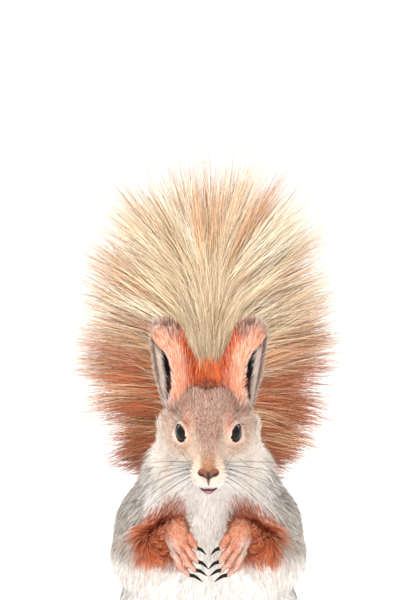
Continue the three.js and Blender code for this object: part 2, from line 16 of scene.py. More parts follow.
import bpy
import numpy as np
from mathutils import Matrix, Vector


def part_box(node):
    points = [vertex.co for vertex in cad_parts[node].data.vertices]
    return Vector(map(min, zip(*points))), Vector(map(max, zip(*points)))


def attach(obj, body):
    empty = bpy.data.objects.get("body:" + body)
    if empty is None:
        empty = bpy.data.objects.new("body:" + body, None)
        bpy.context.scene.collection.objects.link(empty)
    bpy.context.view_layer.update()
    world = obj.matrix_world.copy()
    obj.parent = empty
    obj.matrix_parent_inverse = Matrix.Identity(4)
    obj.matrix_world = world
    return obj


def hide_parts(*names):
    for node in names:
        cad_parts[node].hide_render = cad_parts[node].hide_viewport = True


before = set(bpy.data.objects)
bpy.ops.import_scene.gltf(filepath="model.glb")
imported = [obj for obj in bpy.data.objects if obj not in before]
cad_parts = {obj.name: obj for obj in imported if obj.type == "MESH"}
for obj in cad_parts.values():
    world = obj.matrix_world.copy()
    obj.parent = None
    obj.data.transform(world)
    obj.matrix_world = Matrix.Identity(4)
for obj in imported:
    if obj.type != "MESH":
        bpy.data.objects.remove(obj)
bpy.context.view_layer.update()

LOG = logging.getLogger("squirrel")
METRE = 0.001  # of a millimetre
RANDOM_SEED = 11
TUFT_PATCH = 0.003  # width of a tuft's patch on the bake's map
MAP_MARGIN = 0.004  # kept free at the map's edges

Array = np.ndarray
Form = Callable[[Array], Array]
Pairs = Sequence[tuple[float, float]]
Point = tuple[float, float, float]


# ---------------------------------------------------------------- numbers


def ramp(low: float, high: float, value: Array) -> Array:
    """Runs smoothly from 0 at `low` to 1 at `high`, which may be the smaller of the two."""
    share = np.clip((value - low) / (high - low), 0, 1)
    return share * share * (3 - 2 * share)


def span_at(places: Array, t: Array) -> tuple[Array, Array]:
    """Finds the span of rising places that holds each `t`, and the share of the way through it."""
    i = np.clip(np.searchsorted(places, t, side="right") - 1, 0, len(places) - 2)
    return i, (t - places[i]) / (places[i + 1] - places[i])


def profile(pairs: Pairs, t: Array) -> Array:
    """Reads a smooth curve through pairs of place and value.

    Args:
        pairs: Places in rising order, each with its value.
        t: The places to read.

    Returns:
        One value for each place.
    """
    at, values = np.array(pairs, float).T
    i, share = span_at(at, np.clip(np.asarray(t, float), at[0], at[-1]))
    return values[i] + (values[i + 1] - values[i]) * ramp(0, 1, share)


def straight(pairs: Pairs, t: Array) -> Array:
    """Reads a line of straight spans through pairs of place and value."""
    at, values = zip(*pairs)
    return np.interp(t, at, values)


def unit(vectors: Array) -> Array:
    """Scales each vector to a length of 1."""
    return vectors / np.maximum(np.linalg.norm(vectors, axis=-1, keepdims=True), 1e-9)


def dot(a: Array, b: Array) -> Array:
    """Gives the inner product of each pair of vectors."""
    return (a * b).sum(-1)


def mix(a: Array, b: Array, share: Array) -> Array:
    """Goes from `a` to `b` by a share for each row."""
    return a + (b - a) * np.asarray(share)[..., None]


def circle(count: int, first: Array, second: Array) -> Array:
    """Spreads points round a circle or ellipse.

    Args:
        count: How many points it gets.
        first: From its middle to the first point, for one circle or for a row of them.
        second: From its middle to the point a quarter turn on.

    Returns:
        The points, from the middle of each circle.
    """
    turn = 2 * np.pi * np.arange(count)[:, None] / count
    return np.cos(turn) * first[..., None, :] + np.sin(turn) * second[..., None, :]


def linear(hex_colour: str) -> Array:
    """Turns an sRGB hex colour such as #A08478 into linear red, green and blue."""
    srgb = np.array([int(hex_colour[i : i + 2], 16) for i in (1, 3, 5)]) / 255
    return np.where(srgb <= 0.04045, srgb / 12.92, ((srgb + 0.055) / 1.055) ** 2.4)


def smooth_line(points: Array, count: int) -> Array:
    """Draws a smooth line through a few points.

    Args:
        points: The points to pass, in order.
        count: How many points the line gets.

    Returns:
        The line's points, spread evenly over its spans.
    """
    p = np.vstack([2 * points[0] - points[1], points, 2 * points[-1] - points[-2]])
    t = np.linspace(0, len(points) - 1, count)
    i = np.minimum(t.astype(int), len(points) - 2)
    f = (t - i)[:, None]
    a, b, c, d = p[i], p[i + 1], p[i + 2], p[i + 3]
    return 0.5 * (2 * b + (c - a) * f + (2 * a - 5 * b + 4 * c - d) * f**2 + (3 * b - a - 3 * c + d) * f**3)


# ---------------------------------------------------------------- forms, as distances in millimetres


@dataclass(frozen=True)
class Ellipsoid:
    """An ellipsoid, tipped about X so that a positive tilt lowers its front."""

    centre: Point
    radii: Point
    tilt: float = 0.0

    def __call__(self, p: Array) -> Array:
        """Gives the distance of each point from the surface, under 0 inside."""
        c, s = math.cos(self.tilt), math.sin(self.tilt)
        x, y, z = (p - np.array(self.centre)).T
        q = np.stack([x, y * c + z * s, z * c - y * s], -1)
        radii = np.array(self.radii)
        near = np.linalg.norm(q / radii, axis=-1)
        slope = np.maximum(np.linalg.norm(q / radii**2, axis=-1), 1e-6)
        return np.where(near < 1e-4, -min(self.radii), near * (near - 1) / slope)


@dataclass(frozen=True)
class Bar:
    """A round bar between two points, with a radius at each."""

    start: Point
    end: Point
    start_radius: float
    end_radius: float

    def __call__(self, p: Array) -> Array:
        """Gives the distance of each point from the surface, under 0 inside."""
        a, along = np.array(self.start), np.array(self.end) - np.array(self.start)
        t = np.clip((p - a) @ along / (along @ along), 0, 1)
        away = np.linalg.norm(p - a - t[:, None] * along, axis=-1)
        return away - self.start_radius - t * (self.end_radius - self.start_radius)


def joined(distances: Sequence[Array], fillet: float) -> Array:
    """Joins the distances of several forms with a fillet.

    Args:
        distances: One row of distances for each form.
        fillet: The size of the fillet, in millimetres.

    Returns:
        The distances of the joined form.
    """
    whole = distances[0]
    for other in distances[1:]:
        near = np.maximum(fillet - np.abs(whole - other), 0) / fillet
        whole = np.minimum(whole, other) - near * near * fillet * 0.25
    return whole


def fused(forms: Sequence[Form], p: Array, fillet: float) -> Array:
    """Gives the distance of points from several forms that are joined with a fillet."""
    return joined([form(p) for form in forms], fillet)


def limb(points: Sequence[Point], radii: Sequence[float]) -> list[Bar]:
    """Makes a chain of round bars through points, each with its radius."""
    return [Bar(*ends) for ends in zip(points, points[1:], radii, radii[1:])]


def slope_of(form: Form, p: Array, reach: float = 0.35) -> Array:
    """Works out in which direction a form's distance grows.

    Args:
        form: The form.
        p: The points to look at.
        reach: How far apart the samples are taken.

    Returns:
        The slope at each point, near 1 long.
    """
    steps = np.eye(3) * reach
    return np.stack([form(p + step) - form(p - step) for step in steps], -1) / (2 * reach)


def onto(form: Form, p: Array, rounds: int = 3, longest: float = 1.5, flattest: float = 0.2) -> Array:
    """Moves points along the slope until they lie on a form's surface.

    Args:
        form: The form.
        p: The points, near its surface.
        rounds: How often they are moved.
        longest: The longest move, in millimetres.
        flattest: The least square of the slope that a move is worked out with.

    Returns:
        The moved points.
    """
    for _ in range(rounds):
        slope = slope_of(form, p)
        move = np.clip(form(p), -longest, longest) / np.maximum(dot(slope, slope), flattest)
        p = p - slope * move[:, None]
    return p


# ---------------------------------------------------------------- meshes from arrays


@dataclass
class Surface:
    """The arrays of one mesh, in millimetres."""

    points: Array
    faces: list[Array]  # groups of faces with equally many corners
    colours: Array | None = None
    normals: Array | None = None
    unwrap: Array | None = None  # a place on the bake for each point

    def mirrored(self) -> "Surface":
        """Gives the same surface on the animal's other side."""
        flip = np.array([-1.0, 1, 1])
        faces = [group[:, ::-1] for group in self.faces]
        normals = None if self.normals is None else self.normals * flip
        return Surface(self.points * flip, faces, self.colours, normals, self.unwrap)

    def joined_to(self, other: "Surface") -> "Surface":
        """Gives one surface that holds this one and another of the same make."""
        shift = len(self.points)

        def both(a: Array | None, b: Array | None) -> Array | None:
            """Stacks two arrays, where both are there."""
            return None if a is None or b is None else np.concatenate([a, b])

        return Surface(
            np.concatenate([self.points, other.points]),
            self.faces + [group + shift for group in other.faces],
            both(self.colours, other.colours),
            both(self.normals, other.normals),
            both(self.unwrap, other.unwrap),
        )

    def on_both_sides(self) -> "Surface":
        """Gives one surface that holds this one and its mirror image."""
        return self.joined_to(self.mirrored())


def net_over(form: Form, axes: Sequence[Array]) -> Surface:
    """Draws a net of quads over the surface of a form.

    Args:
        form: The form to cover.
        axes: The places of the grid's planes on each axis, in rising order.

    Returns:
        A closed surface whose faces look outwards.
    """
    shape = tuple(len(a) for a in axes)
    value = np.empty(shape)
    for i, x in enumerate(axes[0]):
        plane = np.stack(np.meshgrid([x], axes[1], axes[2], indexing="ij"), -1).reshape(-1, 3)
        value[i] = form(plane).reshape(shape[1:])
    inside = value < 0
    corners = [(a, b, c) for a in (0, 1) for b in (0, 1) for c in (0, 1)]
    count = np.zeros(tuple(n - 1 for n in shape), int)
    for a, b, c in corners:
        count += inside[a : shape[0] - 1 + a, b : shape[1] - 1 + b, c : shape[2] - 1 + c]
    cell = np.argwhere((count > 0) & (count < len(corners)))
    number = np.full(count.shape, -1)
    number[tuple(cell.T)] = np.arange(len(cell))
    total, crossings = np.zeros((len(cell), 3)), np.zeros(len(cell))
    for axis in range(3):
        step = np.eye(3, dtype=int)[axis]
        for corner in corners:
            if corner[axis]:
                continue
            a, b = cell + corner, cell + corner + step
            va, vb = value[tuple(a.T)], value[tuple(b.T)]
            crosses = (va < 0) != (vb < 0)
            share = np.where(crosses, va / np.where(va == vb, 1, va - vb), 0)
            pa = np.stack([axes[k][a[:, k]] for k in range(3)], -1)
            pb = np.stack([axes[k][b[:, k]] for k in range(3)], -1)
            total += (pa + (pb - pa) * share[:, None]) * crosses[:, None]
            crossings += crosses
    points = total / crossings[:, None]
    quads = []
    for axis in range(3):
        b, c = (axis + 1) % 3, (axis + 2) % 3
        low = [slice(None)] * 3
        high = [slice(None)] * 3
        low[axis], high[axis] = slice(0, -1), slice(1, None)
        start, end = inside[tuple(low)], inside[tuple(high)]
        edge = np.argwhere(start != end)
        off_b, off_c = ((edge[:, k] > 0) & (edge[:, k] < shape[k] - 1) for k in (b, c))
        edge = edge[off_b & off_c]
        ring = []
        for db, dc in ((-1, -1), (0, -1), (0, 0), (-1, 0)):
            at = edge.copy()
            at[:, b] += db
            at[:, c] += dc
            ring.append(number[tuple(at.T)])
        quad = np.stack(ring, -1)
        outward = start[tuple(edge.T)]
        quads.append(np.where(outward[:, None], quad, quad[:, ::-1]))
    return Surface(points, [np.concatenate(quads)])


def lofted(rings: Array) -> Surface:
    """Joins rings of equally many points to one surface.

    Args:
        rings: An array of rings, points and places.

    Returns:
        The surface, closed at both ends.
    """
    count, sides = rings.shape[:2]
    at = np.arange(count * sides).reshape(count, sides)
    across = np.concatenate([at, at[:, :1]], 1)
    quads = np.stack([across[:-1, :-1], across[:-1, 1:], across[1:, 1:], across[1:, :-1]], -1).reshape(-1, 4)
    return Surface(rings.reshape(-1, 3), [quads, at[:1, ::-1], at[-1:]])


def tube(line: Array, radii: Array, sides: int = 10, flat: float = 1.0, broad: Point = (1, 0, 0)) -> Surface:
    """Sweeps a round or flattened section along a line.

    Args:
        line: The points of the tube's middle.
        radii: The radius at each point.
        sides: Points around the section.
        flat: The section's depth as a share of its breadth.
        broad: The direction that the breadth takes.

    Returns:
        A closed tube.
    """
    along = unit(np.gradient(line, axis=0))
    side = unit(np.array(broad, float) - along * (along @ np.array(broad, float))[:, None])
    ring = circle(sides, side, np.cross(along, side) * flat)
    return lofted(line[:, None] + ring * radii[:, None, None])


# ---------------------------------------------------------------- the animal's form


@dataclass(frozen=True)
class HeadFrame:
    """The head's own frame: x to its left, y back, z to its crown."""

    centre: Point = (0.0, -26.5, 148.7)
    pitch: float = math.radians(28)

    def turned(self, local: Array | Point) -> Array:
        """Turns directions of the head's frame into those of the animal's."""
        x, y, z = np.asarray(local, float).T
        c, s = math.cos(self.pitch), math.sin(self.pitch)
        return np.stack([x, y * c - z * s, y * s + z * c], -1)

    def placed(self, local: Array | Point) -> Array:
        """Gives points of the head's frame in the animal's frame."""
        return self.turned(local) + np.array(self.centre)

    def local(self, p: Array) -> Array:
        """Gives points of the animal's frame in the head's frame."""
        x, y, z = (p - np.array(self.centre)).T
        c, s = math.cos(self.pitch), math.sin(self.pitch)
        return np.stack([x, y * c + z * s, z * c - y * s], -1)

    def egg(self, centre: Point, radii: Point) -> Ellipsoid:
        """Makes an ellipsoid from numbers in the head's frame."""
        return Ellipsoid(tuple(self.placed(centre)), radii, -self.pitch)

    def bar(self, start: Point, end: Point, start_radius: float, end_radius: float) -> Bar:
        """Makes a bar from numbers in the head's frame."""
        return Bar(tuple(self.placed(start)), tuple(self.placed(end)), start_radius, end_radius)


@dataclass(frozen=True)
class Eye:
    """One eye: its ball and the almond opening of its lids, in the head's frame."""

    radius: float = 5.3
    centre: Point = (9.7, -7.2, 3.4)
    yaw: float = math.radians(60)
    half_length: float = 4.9
    half_height: float = 4.5
    lid: float = 0.8  # thickness of the lids

    def axes(self) -> tuple[Array, Array, Array]:
        """Gives the eye's look, the direction along its opening and the one across it."""
        look = unit(np.array([math.sin(self.yaw), -math.cos(self.yaw), 0.2]))
        along = unit(np.cross(look, [0, 0, 1]))
        return look, along, np.cross(along, look)

    def off_axis(self, local: Array) -> tuple[Array, Array]:
        """Measures points against the opening.

        Args:
            local: Points on the left half of the head, in its frame.

        Returns:
            How far each is along the look, and how far off it as a share of the opening.
        """
        look, along, up = self.axes()
        q = local - np.array(self.centre)
        return q @ look, np.hypot(q @ along / self.half_length, q @ up / self.half_height)


@dataclass(frozen=True)
class Animal:
    """The squirrel's outline at the tips of its coat, and its skin beneath it."""

    head: HeadFrame = HeadFrame()
    eye: Eye = Eye()
    neck_axis: Point = (0.0, -0.591, 0.807)
    neck_top: Point = (0.0, -11.0, 133.0)
    forearm: tuple[Point, ...] = (
        (32, -4, 84),
        (31, -12, 84),
        (27, -26, 91),
        (19.5, -38.5, 101),
        (14.6, -44.5, 106),
    )
    forearm_radii: tuple[float, ...] = (8.6, 10.2, 9.8, 7.6, 5.6)
    forearm_coat: float = 2.8
    upright_fur: Point = (0.0, 13.5, 14.5)  # between the ears, in the head's frame
    ruff: Ellipsoid = Ellipsoid((0, -3, 134), (29.5, 20, 18.5))  # long fur at the sides of the neck
    mouth: tuple[Point, ...] = (
        (0, -27.7, -14.3),
        (2.6, -26.8, -14.9),
        (5.2, -24.4, -14.8),
        (6.6, -20.6, -14.3),
    )
    groove_radius: float = 0.5  # of the closed mouth's line
    trunk_fillet: float = 10.0
    head_fillet: float = 5.0
    neck_fillet: float = 9.0
    forearm_fillet: float = 15.0

    def head_forms(self) -> list[Form]:
        """Gives the forms that make up the left half of the head."""
        egg, bar = self.head.egg, self.head.bar
        return [
            egg((0, 6.5, 3), (16.5, 19.5, 15.5)),  # cranium
            egg(self.upright_fur, (10.5, 7.5, 12)),
            egg((0, -4.5, 4), (12.8, 13, 11)),  # forehead
            bar((0, -8, -4), (0, -22.5, -7), 11.5, 5.6),  # muzzle
            bar((0, -10, 2.5), (0, -25.6, -2.4), 6.5, 3.3),  # bridge of the nose
            egg((4, -22, -10.2), (4.8, 6.2, 5.2)),  # whisker pad
            egg((11, -2, -7.5), (9, 12, 9)),  # cheek
            egg((12, 7, -7.5), (10.6, 13, 12)),  # long fur behind the cheek
            bar((0, -2, -12), (0, -22, -15.2), 9.5, 4.1),  # jaw
        ]

    def trunk_forms(self) -> list[Form]:
        """Gives the forms that make up the left half of the trunk, with the limbs' upper parts."""
        return [
            Bar((0, 3, 110), (0, -14, 140), 32, 21),  # neck
            Ellipsoid((0, 4, 98), (36, 31, 30)),  # chest
            Ellipsoid((0, 6, 67), (41.5, 39, 40)),  # belly
            Ellipsoid((0, 17, 36), (38, 36, 38.6)),  # rump
            Ellipsoid((25, 0, 98), (14.5, 19, 21)),  # shoulder
            Bar((30, -2, 98), (31, -9, 84), 13, 12),  # upper arm
            Ellipsoid((29, -3, 35), (20.5, 35, 32)),  # haunch
            Bar((29, -24, 40), (27, -10, 12), 13, 9),  # folded shank
        ]

    @staticmethod
    def halved(p: Array) -> Array:
        """Moves points of the right side to the left, as both sides are alike."""
        return p * [0.0, 1, 1] + np.abs(p[..., :1]) * [1.0, 0, 0]

    def bulk(self, p: Array) -> Array:
        """Gives the distance from the coat's tips on head and trunk, without their longest fur."""
        q = self.halved(p)
        head = fused(self.head_forms(), q, self.head_fillet)
        trunk = fused(self.trunk_forms(), q, self.trunk_fillet)
        return joined([trunk, head], self.neck_fillet)

    def forearms(self, p: Array) -> Array:
        """Gives the distance from the coat's tips on the forearms."""
        return fused(limb(self.forearm, self.forearm_radii), self.halved(p), 2)

    def outline(self, p: Array) -> Array:
        """Gives the distance from the tips of the whole coat."""
        q = self.halved(p)
        crest = self.head.bar((0, 13.5, 15.5), (11, 13.5, 20), 11.5, 12.5)
        tall = joined([joined([self.bulk(p), self.ruff(q)], 14), crest(q)], 9)
        return joined([tall, self.forearms(p)], self.forearm_fillet)

    def on_forearm(self, p: Array) -> Array:
        """Gives each point's share in the forearms."""
        return ramp(7, -4, self.forearms(p) - self.bulk(p)) * ramp(-4, -13, p[:, 1])

    def headward(self, p: Array) -> Array:
        """Gives each point's share in the head, from 0 below the neck to 1 above it."""
        return ramp(-12, 8, (p - np.array(self.neck_top)) @ np.array(self.neck_axis))

    def upright(self, local: Array) -> Array:
        """Gives each point's share in the upright fur between the ears."""
        away = (local - np.array(self.upright_fur)) / [16.0, 10.0, 15.0]
        return ramp(1.3, 0.7, np.linalg.norm(away, axis=-1)) * ramp(6, 12, local[:, 2])

    def coat_depth(self, p: Array) -> Array:
        """Gives how far the skin lies under the tips of the coat.

        Args:
            p: Points near the surface.

        Returns:
            The depth at each, in millimetres.
        """
        h = self.head.local(self.halved(p))
        face = ramp(7, -8, h[:, 1])
        head = 3.8 - 2.65 * face - 0.55 * ramp(-15, -24, h[:, 1])
        head = head - 0.8 * (1 - face) * ramp(4, 12, h[:, 2])
        head = head + 5 * self.upright(h)
        trunk = 3.0 - 1.0 * ramp(22, 8, p[:, 2]) + 0.8 * ramp(0, 12, p[:, 1])
        return trunk + (head - trunk) * self.headward(p)

    def skin(self, p: Array) -> Array:
        """Gives the distance from the skin, with its lids and the groove of the mouth."""
        q = self.halved(p)
        h = self.head.local(q)
        arm = self.on_forearm(p)
        depth = self.coat_depth(p) * (1 - arm) + self.forearm_coat * arm
        flesh = joined([self.bulk(p), self.forearms(p)], self.forearm_fillet) + depth
        from_eye = np.linalg.norm(h - np.array(self.eye.centre), axis=-1) - self.eye.radius
        flesh = joined([flesh, from_eye - self.eye.lid], 2.5)
        forward, off = self.eye.off_axis(h)
        past_lids = off - 0.94 - 0.03 * np.maximum(forward - 4, 0)
        opening = np.where(forward > 0, past_lids * self.eye.half_height, 9.0)
        flesh = np.maximum(np.maximum(flesh, -opening), 0.12 - from_eye)
        radius = self.groove_radius
        spans = [self.head.bar(start, end, radius, radius) for start, end in zip(self.mouth, self.mouth[1:])]
        return np.maximum(flesh, -np.min([span(q) for span in spans], axis=0))

    def lie(self, p: Array, outward: Array) -> Array:
        """Works out which way the hair lies: back from the nose, down the trunk and along the arms.

        Args:
            p: Points on the skin.
            outward: The skin's normal at each.

        Returns:
            The lie at each point, along the skin.
        """
        q = self.halved(p)
        h = self.head.local(q)
        over_head = unit(h - [0.0, -31, -9])
        over_head = mix(over_head, np.array([0.0, 0.25, 1]), self.upright(h))
        look, _, _ = self.eye.axes()
        from_eye = h - np.array(self.eye.centre)
        round_eye = from_eye - (from_eye @ look)[:, None] * look
        _, off = self.eye.off_axis(h)
        clear = ramp(2.1, 1.25, off) * (from_eye @ look > -1)
        over_head = mix(over_head, unit(round_eye), 0.85 * clear)
        aside = 0.18 * ramp(10, -20, q[:, 1]) * ramp(0, 16, q[:, 0])
        down = np.stack([aside, 0.1 + 0.4 * ramp(60, 30, q[:, 2]), -np.ones(len(p))], -1)
        way = mix(down, self.head.turned(over_head), self.headward(p))
        to_wrist = np.array(self.forearm[-1]) + [0, -4, -2] - q
        near = ramp(27, 11, np.linalg.norm(to_wrist, axis=-1))
        way = mix(unit(way), unit(to_wrist), self.on_forearm(p) * near)
        way[:, 0] *= np.where(p[:, 0] < 0, -1, 1)
        return unit(way - outward * dot(way, outward)[:, None])


# ---------------------------------------------------------------- colours of skin and coat


class HairColours(Enum):
    """Colours along hairs, as sRGB hex from root to tip."""

    def stops(self) -> Array:
        """Gives the colours in linear light."""
        return np.array([linear(colour) for colour in self.value])


class Hue(HairColours):
    """Colours of the coat, each at the root, the middle and the tip of a hair."""

    GREY = ("#8E847C", "#A89D94", "#CCC2B8")
    BACK = ("#7F6F66", "#A38B7B", "#BFA08A")
    STRIPE = ("#7A5240", "#A0603F", "#BA7650")
    WHITE = ("#EFE9E2", "#F5F0EA", "#F9F5F1")
    CREAM = ("#E0CDBB", "#F0E2D3", "#F8EFE5")
    RUST = ("#86381E", "#BA5229", "#D47648")
    # also laid as painted shade between the fingers and on the forearms' upper side
    DARK_RUST = ("#4C2014", "#80331A", "#A54E30")
    FOREHEAD = ("#7A5648", "#A57A68", "#C49C88")
    BRIDGE = ("#7C5E4C", "#A5836C", "#BF9E86")
    PEACH = ("#D3AD92", "#EECFB6", "#F6E2D0")
    TAN = ("#B98868", "#D6A684", "#E4BFA2")
    CHEEK = ("#C4AB99", "#DFCAB9", "#EEE0D4")
    CROWN = ("#A83A16", "#D85620", "#EC7C40")
    SALMON = ("#C27458", "#E89A78", "#F2B99B")
    EAR_BACK = ("#8F6E5E", "#B08A79", "#C8A695")
    EAR_PALE = ("#DDC0B0", "#EED8CB", "#F8ECE3")
    PAW = ("#A4583C", "#CE8462", "#DFA083")
    PAW_PALE = ("#C89C8A", "#E2C4B6", "#EFDAD0")
    FOOT = ("#8A4A30", "#BC6E47", "#CF8A63")
    GINGER = ("#8A5530", "#B07040", "#C48A58")


def laid(colour: Array, hue: Hue, share: Array) -> Array:
    """Lays a hue over root, middle and tip colours, by a share at each point."""
    return mix(colour, hue.stops()[None], np.clip(share, 0, 1)[:, None])


def layered(base: Hue, *layers: tuple[Hue, Array]) -> Array:
    """Lays hues over a base, each by a share at each point, and gives root, middle and tip colours."""
    colour = np.repeat(base.stops()[None], len(layers[0][1]), 0)
    for hue, share in layers:
        colour = laid(colour, hue, share)
    return colour


@dataclass(frozen=True)
class Markings:
    """Where each colour of the coat lies. Skin and coat read the same markings."""

    animal: Animal

    def head(self, h: Array) -> Array:
        """Colours points of the head's left half, in its frame: grey brow, pale cheeks, orange crown."""
        x, y, z = h.T
        forward, off = self.animal.eye.off_axis(h)
        below = np.maximum(-z, 0)
        wedge = 2.8 + 3.6 * ramp(-24, -13, y)  # half the width of the dark bridge
        return layered(
            Hue.FOREHEAD,
            (Hue.CHEEK, 0.8 * ramp(11, 15.5, x) * ramp(16, 9, z)),
            (Hue.TAN, 0.75 * ramp(9, 4, np.hypot(x - 11, z + 4))),
            (Hue.SALMON, 0.4 * ramp(5.5, 2, np.hypot(x - 9, z - 10.5))),
            (Hue.PEACH, 0.3 * ramp(7, 3, np.hypot(x - 5.5, z - 1)) * ramp(-6, -10, y)),
            (Hue.PEACH, ramp(-9, -17, y) * ramp(wedge - 1.6, wedge + 1.6, x + below)),
            (Hue.BRIDGE, 0.8 * ramp(-17, -23, y) * ramp(4.5, 2.5, x) * ramp(-5.5, -2.5, z)),
            (Hue.CREAM, ramp(-3, -9, z) * ramp(-2, 4, x + below * 2 - 6)),
            (Hue.WHITE, ramp(-8.5, -13, z)),
            (Hue.CHEEK, ramp(13, 18, x) * ramp(5, -4, z)),
            (Hue.TAN, 0.75 * ramp(13, 19, x) * ramp(-7, 1, z)),
            (Hue.CREAM, 0.7 * ramp(14, 19, x) * ramp(-4, -10, z)),
            (Hue.EAR_PALE, 0.6 * ramp(1.2, 1.05, off) * ramp(-3, 1, forward)),
            (Hue.GINGER, 0.8 * ramp(3.6, 1.8, x) * ramp(-22.5, -26, y) * ramp(-5.2, -3.8, z)),
            (Hue.BACK, ramp(14, 21, y) * ramp(-10, -2, z)),
            (Hue.CROWN, ramp(16.6, 21, z + 0.35 * (y - 8))),
            (Hue.CROWN, self.animal.upright(h) * ramp(2, 6, y)),
            (Hue.DARK_RUST, 0.6 * self.animal.upright(h) * ramp(4.5, 1.5, x)),
        )

    def trunk(self, q: Array) -> Array:
        """Colours points of the left half of the body: grey with a white front and rusty arms."""
        x, y, z = q.T
        top = 120 - 1.0 * np.maximum(x - 18, 0)
        rust = ramp(-1, -8, y) * ramp(8, 12, x) * ramp(36, 30, x) * ramp(top, top - 5, z)
        return layered(
            Hue.GREY,
            (Hue.BACK, ramp(4, 22, y) * 0.85),
            (Hue.STRIPE, ramp(16, 6, x) * ramp(14, 26, y) * 0.8),
            (Hue.WHITE, ramp(95, 83, z + 0.5 * np.maximum(y - 4, 0)) * ramp(9, -9, y)),
            (Hue.BACK, ramp(66, 52, z) * ramp(22, 36, x + 0.35 * (y + 20)) * 0.9),
            (Hue.FOOT, ramp(26, 12, z) * ramp(18, 26, x) * 0.8),
            (Hue.WHITE, ramp(2, -6, y) * ramp(31, 23, x) * ramp(100, 110, z)),
            (Hue.WHITE, ramp(2, -8, y) * ramp(20, 13, x)),
            (Hue.CREAM, 0.4 * ramp(-4, -12, y) * ramp(15, 10, x) * ramp(80, 88, z) * ramp(122, 114, z)),
            (Hue.RUST, rust * ramp(84, 90, z)),
        )

    def at(self, p: Array) -> Array:
        """Gives the root, middle and tip colour of the coat at points of the animal."""
        q = self.animal.halved(p)
        colour = mix(self.trunk(q), self.head(self.animal.head.local(q)), self.animal.headward(p)[:, None])
        arm = self.animal.on_forearm(p)
        above = q[:, 2] - 84 - 1.05 * (31 - q[:, 0])  # over the line from elbow to wrist
        rusty = arm * ramp(88, 95, q[:, 2]) * ramp(34.5, 28, q[:, 0])
        # painted shade: the fur darkens to dark rust on the forearm's upper side, in the crease where it
        # meets the chest
        return laid(laid(colour, Hue.RUST, rusty), Hue.DARK_RUST, 0.15 * rusty * ramp(1, 9, above))


# ---------------------------------------------------------------- hair


@dataclass
class Hairs:
    """Flat, tapering tufts of hairs, with a row for each.

    A real hair is 0.02 to 0.08 mm thick, too fine to show in the render, where a pixel is 0.46 mm wide. So
    each strip stands for a few hairs that lie together, and is drawn 0.2 to 0.5 mm wide, as coarse as it
    needs to show.
    """

    line: Array  # points from root to tip
    outward: Array  # the side that its flat faces
    width: Array
    colour: Array  # at each of the stops
    place: Array  # of the root, on the unwrap
    stops: tuple[float, ...] = (0.0, 0.5, 1.0)
    roll: float = 0.7  # how far it may turn about its own line, in radians
    tone: float = 0.11  # how much one differs from the next
    taper: Pairs = ((0, 0.8), (0.35, 1), (0.75, 0.62), (1, 0))  # of the width
    lean: float = 0.22  # how much the shading of one differs from the next

    def only(self, rows: Array | slice) -> "Hairs":
        """Gives some of the hairs."""
        by_row = ("line", "outward", "width", "colour", "place")
        return replace(self, **{name: getattr(self, name)[rows] for name in by_row})

    def on_both_sides(self) -> "Hairs":
        """Moves every other hair of the left side to the right."""
        flip = np.ones((len(self.line), 3))
        flip[1::2, 0] = -1
        return replace(self, line=self.line * flip[:, None], outward=self.outward * flip)

    def surface(self, random: np.random.Generator) -> Surface:
        """Builds the hairs as flat strips of quads that end in a point.

        Args:
            random: The source of their small differences.

        Returns:
            One surface that holds them all.
        """
        count, k = len(self.line), self.line.shape[1] - 1
        s = np.linspace(0, 1, k + 1)
        ahead = unit(np.gradient(self.line, axis=1))
        side = unit(np.cross(ahead, self.outward[:, None]))
        turn = random.uniform(-self.roll, self.roll, (count, 1, 1))
        side = np.cos(turn) * side + np.sin(turn) * np.cross(ahead, side)
        half = side * (self.width[:, None] * straight(self.taper, s) / 2)[..., None]
        points = np.empty((count, 2 * k + 1, 3))
        points[:, 0 : 2 * k : 2] = (self.line - half)[:, :k]
        points[:, 1 : 2 * k : 2] = (self.line + half)[:, :k]
        points[:, 2 * k] = self.line[:, k]
        share = np.append(np.repeat(s[:k], 2), 1.0)
        i, past = span_at(np.array(self.stops), share)
        f = past[None, :, None]
        tone = 1 + random.normal(0, self.tone, (count, 1, 1)).clip(-2.2 * self.tone, 2.2 * self.tone)
        colour = (self.colour[:, i] * (1 - f) + self.colour[:, i + 1] * f) * tone
        lean = unit(self.outward + random.normal(0, self.lean, (count, 3)))
        normals = unit(lean[:, None] + ahead[:, np.minimum(np.arange(2 * k + 1) // 2, k)] * 0.25)
        base = (np.arange(count) * (2 * k + 1))[:, None]
        quads = [base + [2 * j, 2 * j + 1, 2 * j + 3, 2 * j + 2] for j in range(k - 1)]
        patch = np.stack([np.append(np.tile([0.0, 1.0], k), 0.5), share], -1) - 0.5
        unwrap = np.clip(self.place[:, None] + TUFT_PATCH * patch, 0, 1)
        return Surface(
            points.reshape(-1, 3),
            [np.concatenate(quads), base + [2 * k - 2, 2 * k - 1, 2 * k]],
            colour.clip(0, 1).reshape(-1, 3),
            normals.reshape(-1, 3),
            unwrap.reshape(-1, 2),
        )


def bent(
    root: Array, along: Array, outward: Array, length: Array, lift: Array, pull: Array, segments: int = 3
) -> Array:
    """Draws hairs that rise from the skin and bend back towards it.

    Args:
        root: The roots.
        along: The lie of each hair, along the skin.
        outward: The skin's normal.
        length: The lengths.
        lift: The angle off the skin at mid length, in radians.
        pull: How far each tip is drawn aside.
        segments: Straight spans in each hair.

    Returns:
        The points of each hair, from root to tip.
    """
    s = np.linspace(0, 1, segments + 1)
    angle = lift[:, None] * (1 + 0.75 * (1 - (s[1:] + s[:-1])))
    moves = np.cos(angle)[..., None] * along[:, None] + np.sin(angle)[..., None] * outward[:, None]
    moves = moves * (length / segments)[:, None, None]
    line = np.concatenate([np.zeros((len(root), 1, 3)), np.cumsum(moves, 1)], 1) + root[:, None]
    return line + pull[:, None] * (s**1.6)[:, None]


